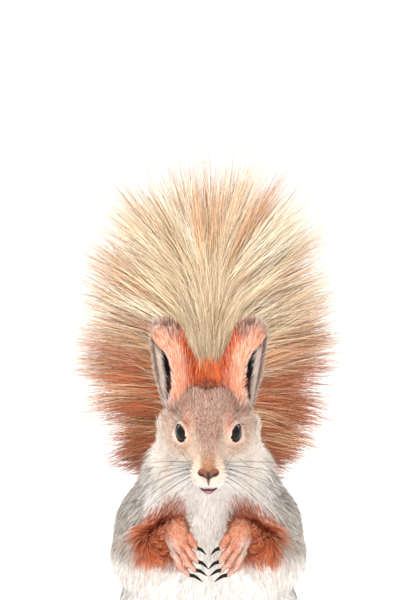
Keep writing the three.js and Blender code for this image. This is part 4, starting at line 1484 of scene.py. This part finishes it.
@dataclass
class Ears:
    """Tall cupped ears that open forwards and to the side, with fur that stands past their tips."""

    animal: Animal
    height: float = 37.5
    radius: float = 8.8
    wall: float = 0.9
    fur: float = 1.1  # depth of the fur outside the wall
    root: Point = (14.2, 8.5, 6.0)
    lean: Point = (0.16, 0.42, 0.9)
    opening: float = math.radians(72)
    swell: Pairs = ((-0.2, 0.4), (0, 0.84), (0.35, 1), (0.66, 1), (0.85, 0.88), (0.95, 0.62), (1, 0.3))
    back_spread: Pairs = ((-0.2, 150), (0, 150), (0.43, 142), (0.76, 142), (0.93, 168), (1, 160))
    front_spread: Pairs = (
        (-0.2, 150), (0, 140), (0.15, 114), (0.32, 96), (0.6, 92), (0.76, 104), (0.93, 168), (1, 160),
    )
    numbers: tuple[int, int, int] = (15000, 4200, 1100)  # of tufts outside, on the edge, across the opening
    lowest: float = -0.16  # where the fur begins, as a share of the height
    back_edge: float = 0.62  # share of the edge's tufts that grow on its back half
    widths: tuple[float, float] = (0.17, 0.33)  # of tufts across the opening and on the cup
    swing: float = 0.09  # of a tuft off the lie

    def at(self, t: Array, share: Array, depth: Array | float) -> Array:
        """Gives points of the cup.

        Args:
            t: Height on the ear, from 0 at the root to 1 at the tip.
            share: Place round the cup, from -1 at its back edge to 1 at its front edge.
            depth: How far inside the coat's outline, in millimetres.

        Returns:
            The points in the animal's frame.
        """
        spread = np.where(share < 0, profile(self.back_spread, t), profile(self.front_spread, t))
        yaw = self.opening + np.pi + np.radians(spread) * share
        r = self.radius * profile(self.swell, t) - depth
        centre = np.array(self.root) + unit(np.array(self.lean)) * (t * self.height)[..., None]
        out = np.stack([np.sin(yaw) * r, -np.cos(yaw) * r * 1.05, np.zeros_like(r)], -1)
        return self.animal.head.placed((centre + out).reshape(-1, 3)).reshape(out.shape)

    def outside(self, t: Array, share: Array) -> Array:
        """Colours the outside: brown behind, orange inwards, salmon in front, pale at the back edge."""
        return layered(
            Hue.EAR_BACK,
            (Hue.CROWN, ramp(-0.35, 0.05, share) * ramp(1.0, 0.75, t)),
            (Hue.SALMON, ramp(0.4, 0.7, share) * (0.8 + 0.2 * ramp(0.2, 0.5, t))),
            (Hue.EAR_PALE, ramp(-0.45, -0.8, share)),
            (Hue.EAR_BACK, 0.2 * ramp(0.85, 1.0, t)),
            (Hue.FOREHEAD, ramp(0.26, 0.06, t) * ramp(0.0, 0.4, share)),
        )

    def cup(self) -> Surface:
        """Draws the thin cup of the left ear, with painted shade inside it that turns rusty at the bottom.

        Returns:
            The cup.
        """
        tt, ss = np.meshgrid(np.linspace(-0.2, 0.975, 44), np.linspace(-1, 1, 32), indexing="ij")
        outer, inner = self.at(tt, ss, self.fur), self.at(tt, ss * 0.985, self.fur + self.wall)
        made = lofted(np.concatenate([outer, inner[:, ::-1]], 1))
        outside = self.outside(tt.ravel(), ss.ravel())[:, 1].reshape(outer.shape) * 0.85
        # painted shade: the inside of the cup is coloured nearly black for the shade in its hollow, rusty
        # towards the root and pink at the rim
        dark, rusty, pink = (linear(tint) for tint in ("#1C100D", "#7A3A26", "#D9B4A4"))
        hollow_shade = dark + (rusty - dark) * ramp(0.32, 0.1, tt)[..., None]
        rim = ramp(0.93, 1.0, np.abs(ss))[..., None]
        inside = hollow_shade * (1 - rim) + pink * rim
        made.colours = np.concatenate([outside, inside[:, ::-1]], 1).reshape(-1, 3)
        return made

    def hair(self, random: np.random.Generator) -> Hairs:
        """Grows the fur of the ears: on their outsides, round their edges and thinly across their openings.

        Args:
            random: The source of the hair's differences.

        Returns:
            The fur of both ears.
        """
        n = sum(self.numbers)
        kind = np.repeat([0, 1, 2], self.numbers)
        on_skin, on_edge, across = kind == 0, kind == 1, kind == 2
        t = np.where(across, random.uniform(0.1, 0.76, n), random.uniform(self.lowest, 0.985, n))
        edge = np.where(random.uniform(size=n) < self.back_edge, -1, 1) * random.uniform(0.92, 1.0, n)
        outside_share = random.uniform(-0.98, 1.0, n)
        share = np.where(on_skin, outside_share, np.where(across, -random.uniform(0.85, 1.0, n), edge))
        t = np.maximum(t, self.lowest + random.uniform(0.18, 0.26, n) * ramp(-0.2, 0.4, share))
        depth = np.where(on_skin, self.fur + 0.1, self.fur + self.wall * 0.6)
        root = self.at(t, share, depth)
        axis = self.animal.head.turned(unit(np.array(self.lean)))
        rim = unit(self.at(t, share + 0.05, depth) - self.at(t, share - 0.05, depth))
        up = unit(axis + np.array([0.25, 0, 0]) * (ramp(0.6, 1, t) * (share > 0.5))[:, None])
        outward = unit(np.cross(rim, up))
        middle = self.at(t, share * 0, np.full(n, self.radius * 0.95))
        outward *= np.sign(dot(outward, root - middle))[:, None]
        into = self.animal.head.turned((math.sin(self.opening), -math.cos(self.opening) - 0.5, 0.3))
        outward = np.where(on_skin[:, None], outward, unit(outward * 0.3 + into))
        off_edge = rim * np.sign(share)[:, None]
        over = unit(self.at(t - 0.12, np.ones(n), depth) - root)
        along = np.where(on_edge[:, None], unit(up + (0.3 + 0.5 * (share < 0))[:, None] * off_edge), up)
        along = np.where(across[:, None], over, along)
        along = unit(along + random.normal(0, self.swing, (n, 3)))
        inner_side = ramp(-0.5, -0.1, share) * ramp(0.75, 0.35, share) * ramp(0.7, 0.2, t) * on_skin
        along = unit(along + inner_side[:, None] * np.array([-0.3, 0, 0.1]))
        stops = self.outside(t, share)
        pale = across | (on_edge & (random.uniform(size=n) < np.where(share < 0, 0.85, 0.3)))
        stops = np.where(pale[:, None, None], Hue.EAR_PALE.stops()[None], stops)
        tip = ramp(0.75, 1.0, t)
        length = random.uniform(4.5, 7.5, n) - 0.8 * tip + 5.5 * inner_side
        length = np.where(across, random.uniform(4.5, 9, n), np.where(on_edge, length * 0.75, length))
        lift = np.radians(np.where(on_skin, 10 + 3 * tip, 8.0)) * np.exp(random.normal(0, 0.3, n))
        hairs = Hairs(
            line=bent(root, along, outward, length, lift, np.zeros((n, 3))),
            outward=outward,
            width=np.where(across, *self.widths) * random.uniform(0.75, 1.2, n) * (1 - 0.3 * tip),
            colour=Agouti(0.07, 0.2, "#6A4436", "#F6DCCB").tick(stops, random),
            place=np.stack([share * 0.4 + 0.5, t * 0.8 + 0.15], -1),
            tone=0.13,
        )
        return hairs.on_both_sides()

    def dress(self, shop: Workshop) -> None:
        """Makes both ears and their fur."""
        random = np.random.default_rng(RANDOM_SEED + 2)
        shop.piece("ear_cups", self.cup().on_both_sides(), SKIN, Slot.RUFOUS)
        shop.coat("coat_ears", self.hair(random), Slot.RUFOUS, random)


# ---------------------------------------------------------------- paws and feet


@dataclass
class Extremities:
    """The forepaws and the hind feet, with their digits, claws and short fur."""

    animal: Animal
    wrist: Point = (14.6, -44.5, 106.0)
    finger_radius: float = 1.6
    toe_radius: float = 2.1
    lowest: float = 0.3  # above the floor
    claw_taper: Pairs = ((0, 0.5), (0.3, 0.66), (0.62, 0.52), (0.85, 0.3), (1, 0.06))  # of a digit's radius
    claw_points: int = 16
    fingers: tuple[tuple[Point, ...], ...] = (
        ((9.6, -49.5, 103.0), (7.2, -53, 100.0), (5.4, -54.2, 98.0), (1.8, -54.6, 95.6)),
        ((11.2, -51, 99.6), (7.6, -54.8, 95), (5.0, -56, 92.2), (0.9, -56, 89.4)),
        ((13.2, -51, 97.4), (9.6, -54.8, 91.6), (6.2, -55.6, 88.2), (1.6, -55.4, 85.8)),
        ((15.8, -49.5, 96.2), (12.8, -53, 89.8), (9.0, -53.8, 85.6), (3.8, -53.6, 82.8)),
    )

    def toes(self) -> tuple[tuple[Point, ...], ...]:
        """Gives the knuckle, joint, claw root and claw tip of each toe of the left hind foot."""
        made = []
        for share in (-1, -0.52, 0, 0.52, 1):
            reach, x = 12 + 4 * (1 - share * share), 29.5 + share * 5.6
            ahead = ((x + share * 1.2, -26 - reach * 0.5, 3.6), (x + share * 2.2, -26 - reach, 2.2))
            made.append(((29 + share * 4.6, -26, 4.2), *ahead, (x + share * 2.6, -31 - reach, 0.9)))
        return tuple(made)

    @staticmethod
    def with_digits(palm: Array, digits: Sequence[tuple[Point, ...]], radius: float, p: Array) -> Array:
        """Adds digits to a palm or foot.

        Args:
            palm: Its distances.
            digits: Each digit's knuckle, joint, claw root and claw tip.
            radius: Their radius.
            p: The points that the distances are for.

        Returns:
            The distances with the digits, a shallow groove between each two.
        """
        for knuckle, joint, root, _ in digits:
            bars = limb([knuckle, joint, root], [radius * 0.96, radius * 0.88, radius * 0.6])
            digit = fused([*bars, Ellipsoid(joint, (radius * 0.95,) * 3)], p, 0.8)
            near = np.maximum(0.6 - np.abs(palm - digit), 0)
            palm = np.minimum(palm, digit) - near * near * 0.4
        return palm

    def forepaw(self, p: Array) -> Array:
        """Gives the distance from the left forepaw."""
        palm = [
            Bar((15.2, -40.5, 106.5), self.wrist, 3.8, 3.9),
            Bar(self.wrist, (14.2, -48.0, 102.2), 3.9, 4.2),
            Bar((14.2, -48.0, 102.2), (12.4, -49.6, 98.4), 4.2, 3.8),
            Bar((14.6, -48.2, 101.0), (14.6, -49.2, 95.6), 3.4, 2.4),
        ]
        return self.with_digits(fused(palm, p, 2.5), self.fingers, self.finger_radius, p)

    def hind_foot(self, p: Array) -> Array:
        """Gives the distance from the left hind foot."""
        foot = limb([(27, 12, 6), (27.5, 2, 6.4), (28, -14, 6.0), (29, -27, 4.6)], [4.8, 5.0, 5.2, 4.2])
        pad = Ellipsoid((29, -22, 4.6), (7.2, 10, 4.2))
        return self.with_digits(fused([*foot, pad], p, 3), self.toes(), self.toe_radius, p)

    def claws(self, digits: Sequence[tuple[Point, ...]], radius: float) -> Surface:
        """Draws the curved claws of a paw or foot.

        Args:
            digits: The digits.
            radius: Their radius.

        Returns:
            The claws as one surface.
        """
        made = []
        for _, joint, root, tip in (np.array(digit, float) for digit in digits):
            middle = root * 0.45 + tip * 0.55 + np.array([0, -0.7, 0.9])
            points = np.array([joint * 0.3 + root * 0.7, root, middle, tip + (tip - root) * 0.25])
            radii = radius * straight(self.claw_taper, np.linspace(0, 1, self.claw_points))
            made.append(tube(smooth_line(points, self.claw_points), radii, flat=0.85, broad=(0.3, 0, 1)))
        return reduce(Surface.joined_to, made)

    @staticmethod
    def fur(
        form: Form,
        net: Surface,
        digits: Sequence[tuple[Point, ...]],
        count: float,
        random: np.random.Generator,
    ) -> tuple[Array, Array]:
        """Lays out the short fur of a paw or foot.

        Args:
            form: The bare paw or foot.
            net: Its surface.
            digits: Its digits, which the hair follows.
            count: Tufts on a square millimetre, for both sides together.
            random: The source of the hair's differences.

        Returns:
            The hairs' lines and their roots' normals.
        """
        root = onto(form, scatter(net, lambda p: np.full(len(p), count), random), 1)
        normal = unit(slope_of(form, root, 0.2))
        ends = np.array([(digit[0], digit[2]) for digit in digits], float)
        near = np.linalg.norm(root[:, None] - ends.mean(1)[None], axis=-1)
        way = unit(np.exp(-((near - near.min(1, keepdims=True)) / 2)) @ unit(ends[:, 1] - ends[:, 0]))
        way = way + random.normal(0, 0.09, (len(root), 3))
        along = unit(way - normal * dot(way, normal)[:, None])
        from_claw = np.linalg.norm(root[:, None] - ends[None, :, 1], axis=-1).min(1)
        length = random.uniform(1.9, 3.3, len(root)) * (0.3 + 0.7 * ramp(1.0, 7.0, from_claw))
        lift = np.radians(12 * np.exp(random.normal(0, 0.2, len(root))))
        return bent(root - normal * 0.1, along, normal, length, lift, np.zeros_like(root), 2), normal

    def paw_hue(self, p: Array) -> Array:
        """Colours the forepaw: salmon and pale on its outer side. Along the fingers it is paler, partly
        their own colour and partly a painted highlight on their crowns; between them it is darkened with
        painted shade.
        """
        away = [np.min([bar(p) for bar in limb(finger[:3], [0, 0, 0])], axis=0) for finger in self.fingers]
        near, next_one = np.sort(away, axis=0)[:2]
        on_fingers = ramp(101, 97, p[:, 2])
        return layered(
            Hue.PAW,
            (Hue.PAW_PALE, 0.8 * ramp(13.5, 16.5, p[:, 0]) * ramp(105, 100, p[:, 2])),
            # partly the fingers' own paler colour, partly a painted highlight along their crowns
            (Hue.PAW_PALE, 0.45 * ramp(0.8, 2.4, next_one - near) * on_fingers),
            # painted shade in the grooves between the fingers
            (Hue.DARK_RUST, 0.75 * ramp(1.1, 0.2, next_one - near) * on_fingers),
        )

    @staticmethod
    def foot_hue(p: Array) -> Array:
        """Colours the hind foot: rusty, paler on the toes."""
        return layered(Hue.FOOT, (Hue.PAW, 0.5 * ramp(-26, -38, p[:, 1])))

    def dress(self, shop: Workshop) -> None:
        """Makes the paws, the feet, their fur and their claws."""
        random = np.random.default_rng(RANDOM_SEED + 3)
        hand, foot = ((0, 24), (-61, -36), (82, 113)), ((18, 41), (-46, 20), (-3, 13))
        plans = (
            ("forepaw", self.forepaw, hand, 0.42, self.fingers, self.finger_radius, 26.0, self.paw_hue),
            ("hind_foot", self.hind_foot, foot, 0.6, self.toes(), self.toe_radius, 13.0, self.foot_hue),
        )
        for name, form, spans, step, digits, radius, count, hue in plans:
            net = net_over(form, [np.arange(a, b, step) for a, b in spans])
            net.points = onto(form, net.points, 2)
            net.points[:, 2] = np.maximum(net.points[:, 2], self.lowest)
            stops = hue(net.points)
            net.colours = stops[:, 0] * 0.7 + stops[:, 1] * 0.3
            for side, shown in (("left", net), ("right", net.mirrored())):
                shop.piece(f"{name}_skin_{side}", shown, SKIN, Slot.PAW, [f"{name}_{side}"])
            line, normal = self.fur(form, net, digits, count, random)
            root = line[:, 0]
            hairs = Hairs(
                line=line,
                outward=normal,
                width=random.uniform(0.17, 0.27, len(root)),
                colour=Agouti(0.08, 0.12, "#6A3424", "#F8DCCB").tick(hue(root), random),
                place=np.stack([root[:, 0] / 50, (root[:, 1] + 62) / 90], -1).clip(0.01, 0.99),
            )
            shop.coat(f"coat_{name}", hairs.on_both_sides(), Slot.PAW, random)
            shop.piece(f"{name}_claws", self.claws(digits, radius).on_both_sides(), CLAW, Slot.PAW)


# ---------------------------------------------------------------- tail


class TailHue(HairColours):
    """Colours along the tail's hair, at each of the tail's stops."""

    GOLD = ("#B2946C", "#D4B68A", "#F0D8AE", "#F6E2C2", "#EED4B0", "#CFA684")
    BANDED = ("#B2946C", "#D4B68A", "#EFD4A8", "#C88058", "#A85634", "#B07A58")
    CREAM = ("#C4A882", "#E2C8A0", "#F8E6C6", "#FCF0DA", "#F8EAD2", "#EEDCC2")
    DARK = ("#846848", "#9C7C56", "#8A6444", "#6C4230", "#4C3228", "#3C2A24")
    RUST = ("#9A5632", "#BC6C42", "#CE7C50", "#C26A44", "#AE5636", "#984E32")
    RUST_PALE = ("#AC7450", "#CC8A5E", "#E6B486", "#F2D0A8", "#EEC8A0", "#D6A480")


@dataclass(frozen=True)
class Locks:
    """The locks of the tail, or the lock of each of its hairs, with a row for each."""

    t: Array  # place on the bone, from 0 to 1
    side: Array  # -1 or 1
    rise: Array  # above the level, in degrees
    lean: Array  # out of the fan, in degrees
    rear: Array  # whether it lies behind the bone
    cover: Array  # whether it covers the bone
    reach: Array  # length of its longest hairs

    def of(self, rows: Array) -> "Locks":
        """Gives the lock of each hair."""
        return Locks(**{name: values[rows] for name, values in vars(self).items()})


@dataclass
class Tail:
    """The raised tail: a core about its bone, and long hair that fans out from it."""

    lock_count: int = 2200
    hairs_per_lock: int = 39
    kinds: tuple[float, float, float] = (0.42, 0.28, 0.30)  # shares in the fan, out of it and on the bone
    hair_width: float = 0.31
    spans: int = 3
    stops: tuple[float, ...] = (0, 0.3, 0.55, 0.75, 0.9, 1)  # of the colours along a hair
    bone: tuple[Point, ...] = (
        (0, 42, 17),
        (0, 58, 24),
        (0, 67, 45),
        (0, 66, 75),
        (0, 60, 105),
        (0, 54, 135),
        (0, 51, 165),
        (0, 54, 196),
    )
    bone_points: int = 400
    core_width: Pairs = ((0, 7), (0.3, 6), (1, 3.6))
    grows_at: Pairs = (
        (0, 0.06), (0.13, 0.3), (0.27, 0.5), (0.38, 0.62), (0.5, 0.72), (0.62, 0.82), (0.74, 0.9),
        (0.83, 0.96), (0.88, 1.0),
    )  # place on the bone, by share of the locks
    rise: Pairs = (
        (0, 30), (0.25, 38), (0.5, 34), (0.62, 4), (0.7, -8), (0.78, 2), (0.86, 15), (0.94, 34), (1, 62),
    )  # above the level, in degrees
    length: Pairs = (
        (0, 25), (0.2, 26), (0.4, 30), (0.5, 34), (0.58, 41), (0.66, 50), (0.74, 61), (0.82, 72), (0.92, 80),
        (1, 77),
    )
    back_lean: Pairs = ((0, 58), (0.4, 50), (0.62, 28), (1, 24))  # in degrees
    front_lean: Pairs = ((0, -20), (1, -24))
    tip_rise: tuple[float, float] = (44, 90)  # of the locks that grow on the bone's tip
    lock_spread: float = 3.4  # of a lock's hairs in the fan, in degrees
    strays: float = 0.14  # share of the hairs that leave their lock
    dark_shares: tuple[float, float] = (0.06, 0.17)  # of the hairs over the bone and in the fan
    cover_shade: float = 0.84  # of the locks over the bone
    half_width: float = 74.5  # of the fan, out to its last wisps
    middle: float = 150.0  # height where the fan is widest
    top: float = 277.0
    corner: float = 2.6  # power of the fan's outline, which would be 2 for an ellipse
    shortest: float = 0.88  # of the hairs that end at the outline, as a share of the way to it

    def on_bone(self, t: Array) -> tuple[Array, Array, Array]:
        """Reads the bone.

        Args:
            t: Places along it, from 0 to 1.

        Returns:
            The points, the direction along the bone and the one to the tail's back.
        """
        last = self.bone_points - 1
        table = smooth_line(np.array(self.bone, float), self.bone_points)
        way = unit(np.gradient(table, axis=0))
        s = np.clip(t, 0, 1) * last
        i = np.minimum(s.astype(int), last - 1)
        f = (s - i)[:, None]
        along = unit(way[i] * (1 - f) + way[i + 1] * f)
        return table[i] * (1 - f) + table[i + 1] * f, along, np.cross(along, [1.0, 0, 0])

    def core(self) -> Surface:
        """Draws the tail's skin, well inside the hair.

        Returns:
            The core.
        """
        t = np.linspace(0, 1, 60)
        point, _, back = self.on_bone(t)
        closing = ((t - 0.95) / 0.05).clip(0, 1)
        wide = profile(self.core_width, t) * np.sqrt(np.clip(1 - closing**2, 0.01, 1))
        ring = circle(16, np.array([1.0, 0, 0]), back)
        made = lofted(point[:, None] + ring * wide[:, None, None])
        low, high = TailHue.RUST.stops()[0], TailHue.GOLD.stops()[0]
        made.colours = np.repeat(mix(low[None], high[None], ramp(0.5, 0.8, t)) * 0.9, ring.shape[1], 0)
        return made

    def hues(self, locks: Locks, random: np.random.Generator) -> Array:
        """Picks the colours of each lock: rusty at the tail's root and lower sides, golden and banded above.

        Args:
            locks: The locks.
            random: The source of the choice.

        Returns:
            Six colours for each lock, from root to tip.
        """
        n = len(locks.t)
        upper = np.array([TailHue.GOLD.stops(), TailHue.BANDED.stops(), TailHue.CREAM.stops()])
        lower = np.array([TailHue.RUST.stops(), TailHue.RUST_PALE.stops()])
        band = 0.5 + 0.5 * np.cos(np.radians(locks.rise - 59 - 2 * locks.side) * 14.7)
        banded = random.uniform(size=n) < 0.05 + 0.85 * band**3 * (~locks.cover)
        plain = np.where(locks.cover | (random.uniform(size=n) < 0.45), 0, 2)
        high = upper[np.where(banded, 1, plain)]
        low = lower[(random.uniform(size=n) > 0.82).astype(int)]
        side_share = ramp(0.82, 0.89, locks.t + random.normal(0, 0.022, n))
        cover_share = ramp(0.42, 0.62, locks.t + random.normal(0, 0.03, n))
        tone = 1 + random.normal(0, 0.09, (n, 1, 1)).clip(-0.2, 0.14)
        share = np.where(locks.cover, cover_share, side_share)
        shade = np.where(locks.cover, self.cover_shade, 1.0)
        return mix(low, high, share[:, None]) * tone * shade[:, None, None]

    def planned(self, random: np.random.Generator) -> Locks:
        """Plans the locks: in the fan's plane, out of it, and over the bone's front and back.

        Args:
            random: The source of their differences.

        Returns:
            The locks.
        """
        count = self.lock_count
        spot = (np.arange(count) + random.uniform(0, 1, count)) / count
        t = straight(self.grows_at, spot)
        kind = random.choice(3, size=count, p=self.kinds)
        cover = kind == 2
        side = random.choice([-1.0, 1.0], size=count)
        rise = profile(self.rise, t) + random.normal(0, 7.5, count)
        rise = np.where(spot > self.grows_at[-1][0], random.uniform(*self.tip_rise, count), rise)
        rise = np.where(cover, np.maximum(90 - 55 * np.abs(random.normal(0, 0.6, count)), 25), rise)
        rear = random.uniform(size=count) < 0.5
        lean_to = np.where(rear, profile(self.back_lean, t), profile(self.front_lean, t))
        lean = np.where(kind == 0, random.normal(0, 4, count), lean_to * random.uniform(0.2, 1.05, count))
        lean = np.where(cover, np.where(rear, 1, -1) * random.uniform(9, 24, count), lean)
        reach = profile(self.length, t) * (1.1 - 0.5 * random.uniform(size=count) ** 1.3)
        reach = reach * np.where(kind == 0, 1, 0.9)
        reach = np.where(cover, reach * random.uniform(0.35, 0.85, count), reach)
        return Locks(t, side, rise, lean, rear, cover, reach)

    def kept_inside(self, line: Array, random: np.random.Generator) -> Array:
        """Shortens the hairs that would pass the fan's outline."""
        tip = line[:, -1]
        wide = np.abs(tip[:, 0]) / self.half_width
        high = np.maximum(tip[:, 2] - self.middle, 0) / (self.top - self.middle)
        past = (wide**self.corner + high**self.corner) ** (1 / self.corner)
        share = np.where(past > 1, random.uniform(self.shortest, 1, len(line)) / past, 1)
        return line[:, :1] + (line - line[:, :1]) * share[:, None, None]

    def hair(self, random: np.random.Generator) -> Hairs:
        """Grows the tail's hair, most of which is drawn to the line of its lock.

        Args:
            random: The source of the hair's differences.

        Returns:
            All the tail's hair.
        """
        locks = self.planned(random)
        stops = self.hues(locks, random)
        lock = np.repeat(np.arange(self.lock_count), self.hairs_per_lock)
        n, own = len(lock), locks.of(lock)
        own_t = np.clip(own.t + random.normal(0, 0.012, n), 0.04, 1)
        point, along, back = self.on_bone(own_t)

        def heading_of(rise: Array, lean: Array) -> Array:
            """Gives the direction of hairs by their rise and their lean, in degrees."""
            turn, slant = np.radians(rise), np.radians(lean)
            level = np.outer(own.side * np.cos(turn), [1.0, 0, 0]) + along * np.sin(turn)[:, None]
            way = level * np.cos(slant)[:, None] + back * np.sin(slant)[:, None]
            return unit(way + along * (slant * slant)[:, None])

        stray = random.uniform(size=n) < self.strays
        own_rise = own.rise + random.normal(0, self.lock_spread, n) * (1 + 2.4 * own.cover)
        heading = heading_of(own_rise, own.lean + random.normal(0, 5, n))
        width = profile(self.core_width, own_t)
        root = point + heading * (width * random.uniform(0.3, 0.9, n))[:, None]
        aside = np.outer(own.side * width * random.uniform(-0.5, 0.9, n), [1, 0, 0])
        behind = back * (np.where(own.rear, 1.0, -1.0) * width * 0.7)[:, None]
        root += (behind + aside) * own.cover[:, None]
        full = own.reach * (1.08 - 0.52 * random.uniform(size=n) ** 0.65)
        target = self.on_bone(own.t)[0] + heading_of(own.rise, own.lean) * full[:, None]
        outwards = 6 * ramp(90, 60, locks.rise) + random.normal(0, 9, self.lock_count)
        bend = np.radians(own.side * outwards[lock] + random.normal(0, 6, n) * (1 + 2 * stray))
        across = unit(np.cross(back, heading))
        s = np.linspace(0, 1, self.spans + 1)
        line = root[:, None] + heading[:, None] * (full[:, None] * s)[..., None]
        line += across[:, None] * ((full * bend)[:, None] * (0.5 * s**2))[..., None]
        tight = random.uniform(0.55, 0.92, self.lock_count)[lock] * np.where(stray, 0.15, 1)
        line += ((target - root - heading * full[:, None]) * tight[:, None])[:, None] * (s**1.4)[:, None]
        line = self.kept_inside(line, random)
        draw = random.uniform(size=n)[:, None, None]
        dark = np.where(own.cover, *self.dark_shares)[:, None, None]
        colour = np.where(draw < dark, TailHue.DARK.stops()[None], stops[lock])
        pale = np.where(own_t < 0.84, 0.93, 0.85)[:, None, None]
        colour = np.where(draw > pale, colour * 0.5 + TailHue.CREAM.stops()[None] * 0.5, colour)
        to_back = np.where(own.lean > 9, 1.0, -1.0) * np.where(random.uniform(size=n) < 0.12, -1, 1)
        return Hairs(
            line=line,
            outward=unit(back * to_back[:, None] + heading * 0.2),
            width=random.uniform(0.65, 1.15, n) * self.hair_width,
            colour=colour,
            place=np.stack([own_t * 0.9 + 0.05, to_back * 0.22 + 0.5 + 0.1 * own.side], -1),
            stops=self.stops,
            roll=1.0,
            tone=0.1,
        )

    def dress(self, shop: Workshop) -> None:
        """Makes the core and the hair."""
        random = np.random.default_rng(RANDOM_SEED + 4)
        shop.piece("tail_core", self.core(), SKIN, Slot.TAIL, ["tail_base", "tail_middle", "tail_fan"])
        shop.coat("coat_tail", self.hair(random), Slot.TAIL, random, TAIL_FUR)


# ---------------------------------------------------------------- studio


@dataclass
class Studio:
    """A plain pale floor, soft light and the camera."""

    eyes: Array  # the point between the eyes, in metres
    lens: float = 200.0
    distance: float = 1.53
    elevation: float = math.radians(8)
    aim: Point = (0.0007, 0.0084, 0.0599)  # from the point between the eyes
    floor_radius: float = 14.0
    floor_corners: int = 64
    sky: float = 1.15
    lamps: tuple[tuple[str, Point, float, float], ...] = (
        ("key", (-0.7, -1.3, 1.3), 0.5, 9.0),
        ("fill", (0.2, -1.5, 0.05), 0.9, 20.0),
        ("top", (-0.25, -0.42, 1.4), 0.22, 9.0),
        ("left_edge", (-1.1, 1.0, 0.76), 0.34, 6.0),
        ("right_edge", (1.1, 1.0, 0.76), 0.34, 6.0),
    )

    def lay_floor(self, shop: Workshop) -> None:
        """Lays the round floor."""
        ring = circle(self.floor_corners, *np.eye(3)[:2]) * self.floor_radius / METRE
        floor = Surface(ring - np.array(shop.shift), [np.arange(self.floor_corners)[None]])
        shop.piece("floor", floor, PAPER, None)

    def light(self) -> None:
        """Lights the animal from all sides, with a soft key light from above the camera's left."""
        world = bpy.data.worlds.new("soft_white")
        bpy.context.scene.world = world
        world.use_nodes = True
        background = world.node_tree.nodes["Background"]
        background.inputs["Color"].default_value = (1, 1, 1, 1)
        background.inputs["Strength"].default_value = self.sky
        for name, place, size, power in self.lamps:
            lamp = bpy.data.lights.new(name, "AREA")
            lamp.shape, lamp.size, lamp.energy = "DISK", size, power
            made = linked(name, lamp)
            made.location = place
            made.rotation_euler = (Vector(self.eyes) - made.location).to_track_quat("-Z", "Y").to_euler()

    def place_camera(self) -> None:
        """Places the camera in front of the animal, a little above it."""
        camera = bpy.data.cameras.new("camera")
        camera.lens, camera.sensor_width = self.lens, 36.0
        made = linked("camera", camera)
        back = Vector((0, -math.cos(self.elevation), math.sin(self.elevation)))
        made.location = Vector(self.eyes) + Vector(self.aim) + back * self.distance
        made.rotation_euler = (math.pi / 2 - self.elevation, 0, 0)
        bpy.context.scene.camera = made

    def set_up(self, shop: Workshop) -> None:
        """Sets up floor, lights and camera."""
        self.lay_floor(shop)
        self.light()
        self.place_camera()
        view = bpy.context.scene.view_settings
        view.view_transform = "Standard"
        view.look = "None"


def main() -> None:
    """Builds and dresses every sub-assembly, then sets up the studio."""
    logging.basicConfig(level=logging.INFO, format="%(message)s")
    animal = Animal()
    low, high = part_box("eye_left")
    left_eye = (np.array(low) + np.array(high)) / 2
    moved = left_eye / METRE - animal.head.placed(animal.eye.centre)
    shop = Workshop((0.0, float(moved[1]), float(moved[2])))
    LOG.info("the solids are moved by %s mm", np.round(shop.shift, 3))
    markings = Markings(animal)
    skin = Skin(animal, markings)
    skin.build()
    head_parts = (Eyes(animal), NoseAndLips(animal), Whiskers(animal), Ears(animal))
    for part in (skin, Coat(animal, markings, skin), *head_parts, Extremities(animal), Tail()):
        part.dress(shop)
    Studio(left_eye * [0, 1, 1]).set_up(shop)


if __name__ == "__main__":
    main()
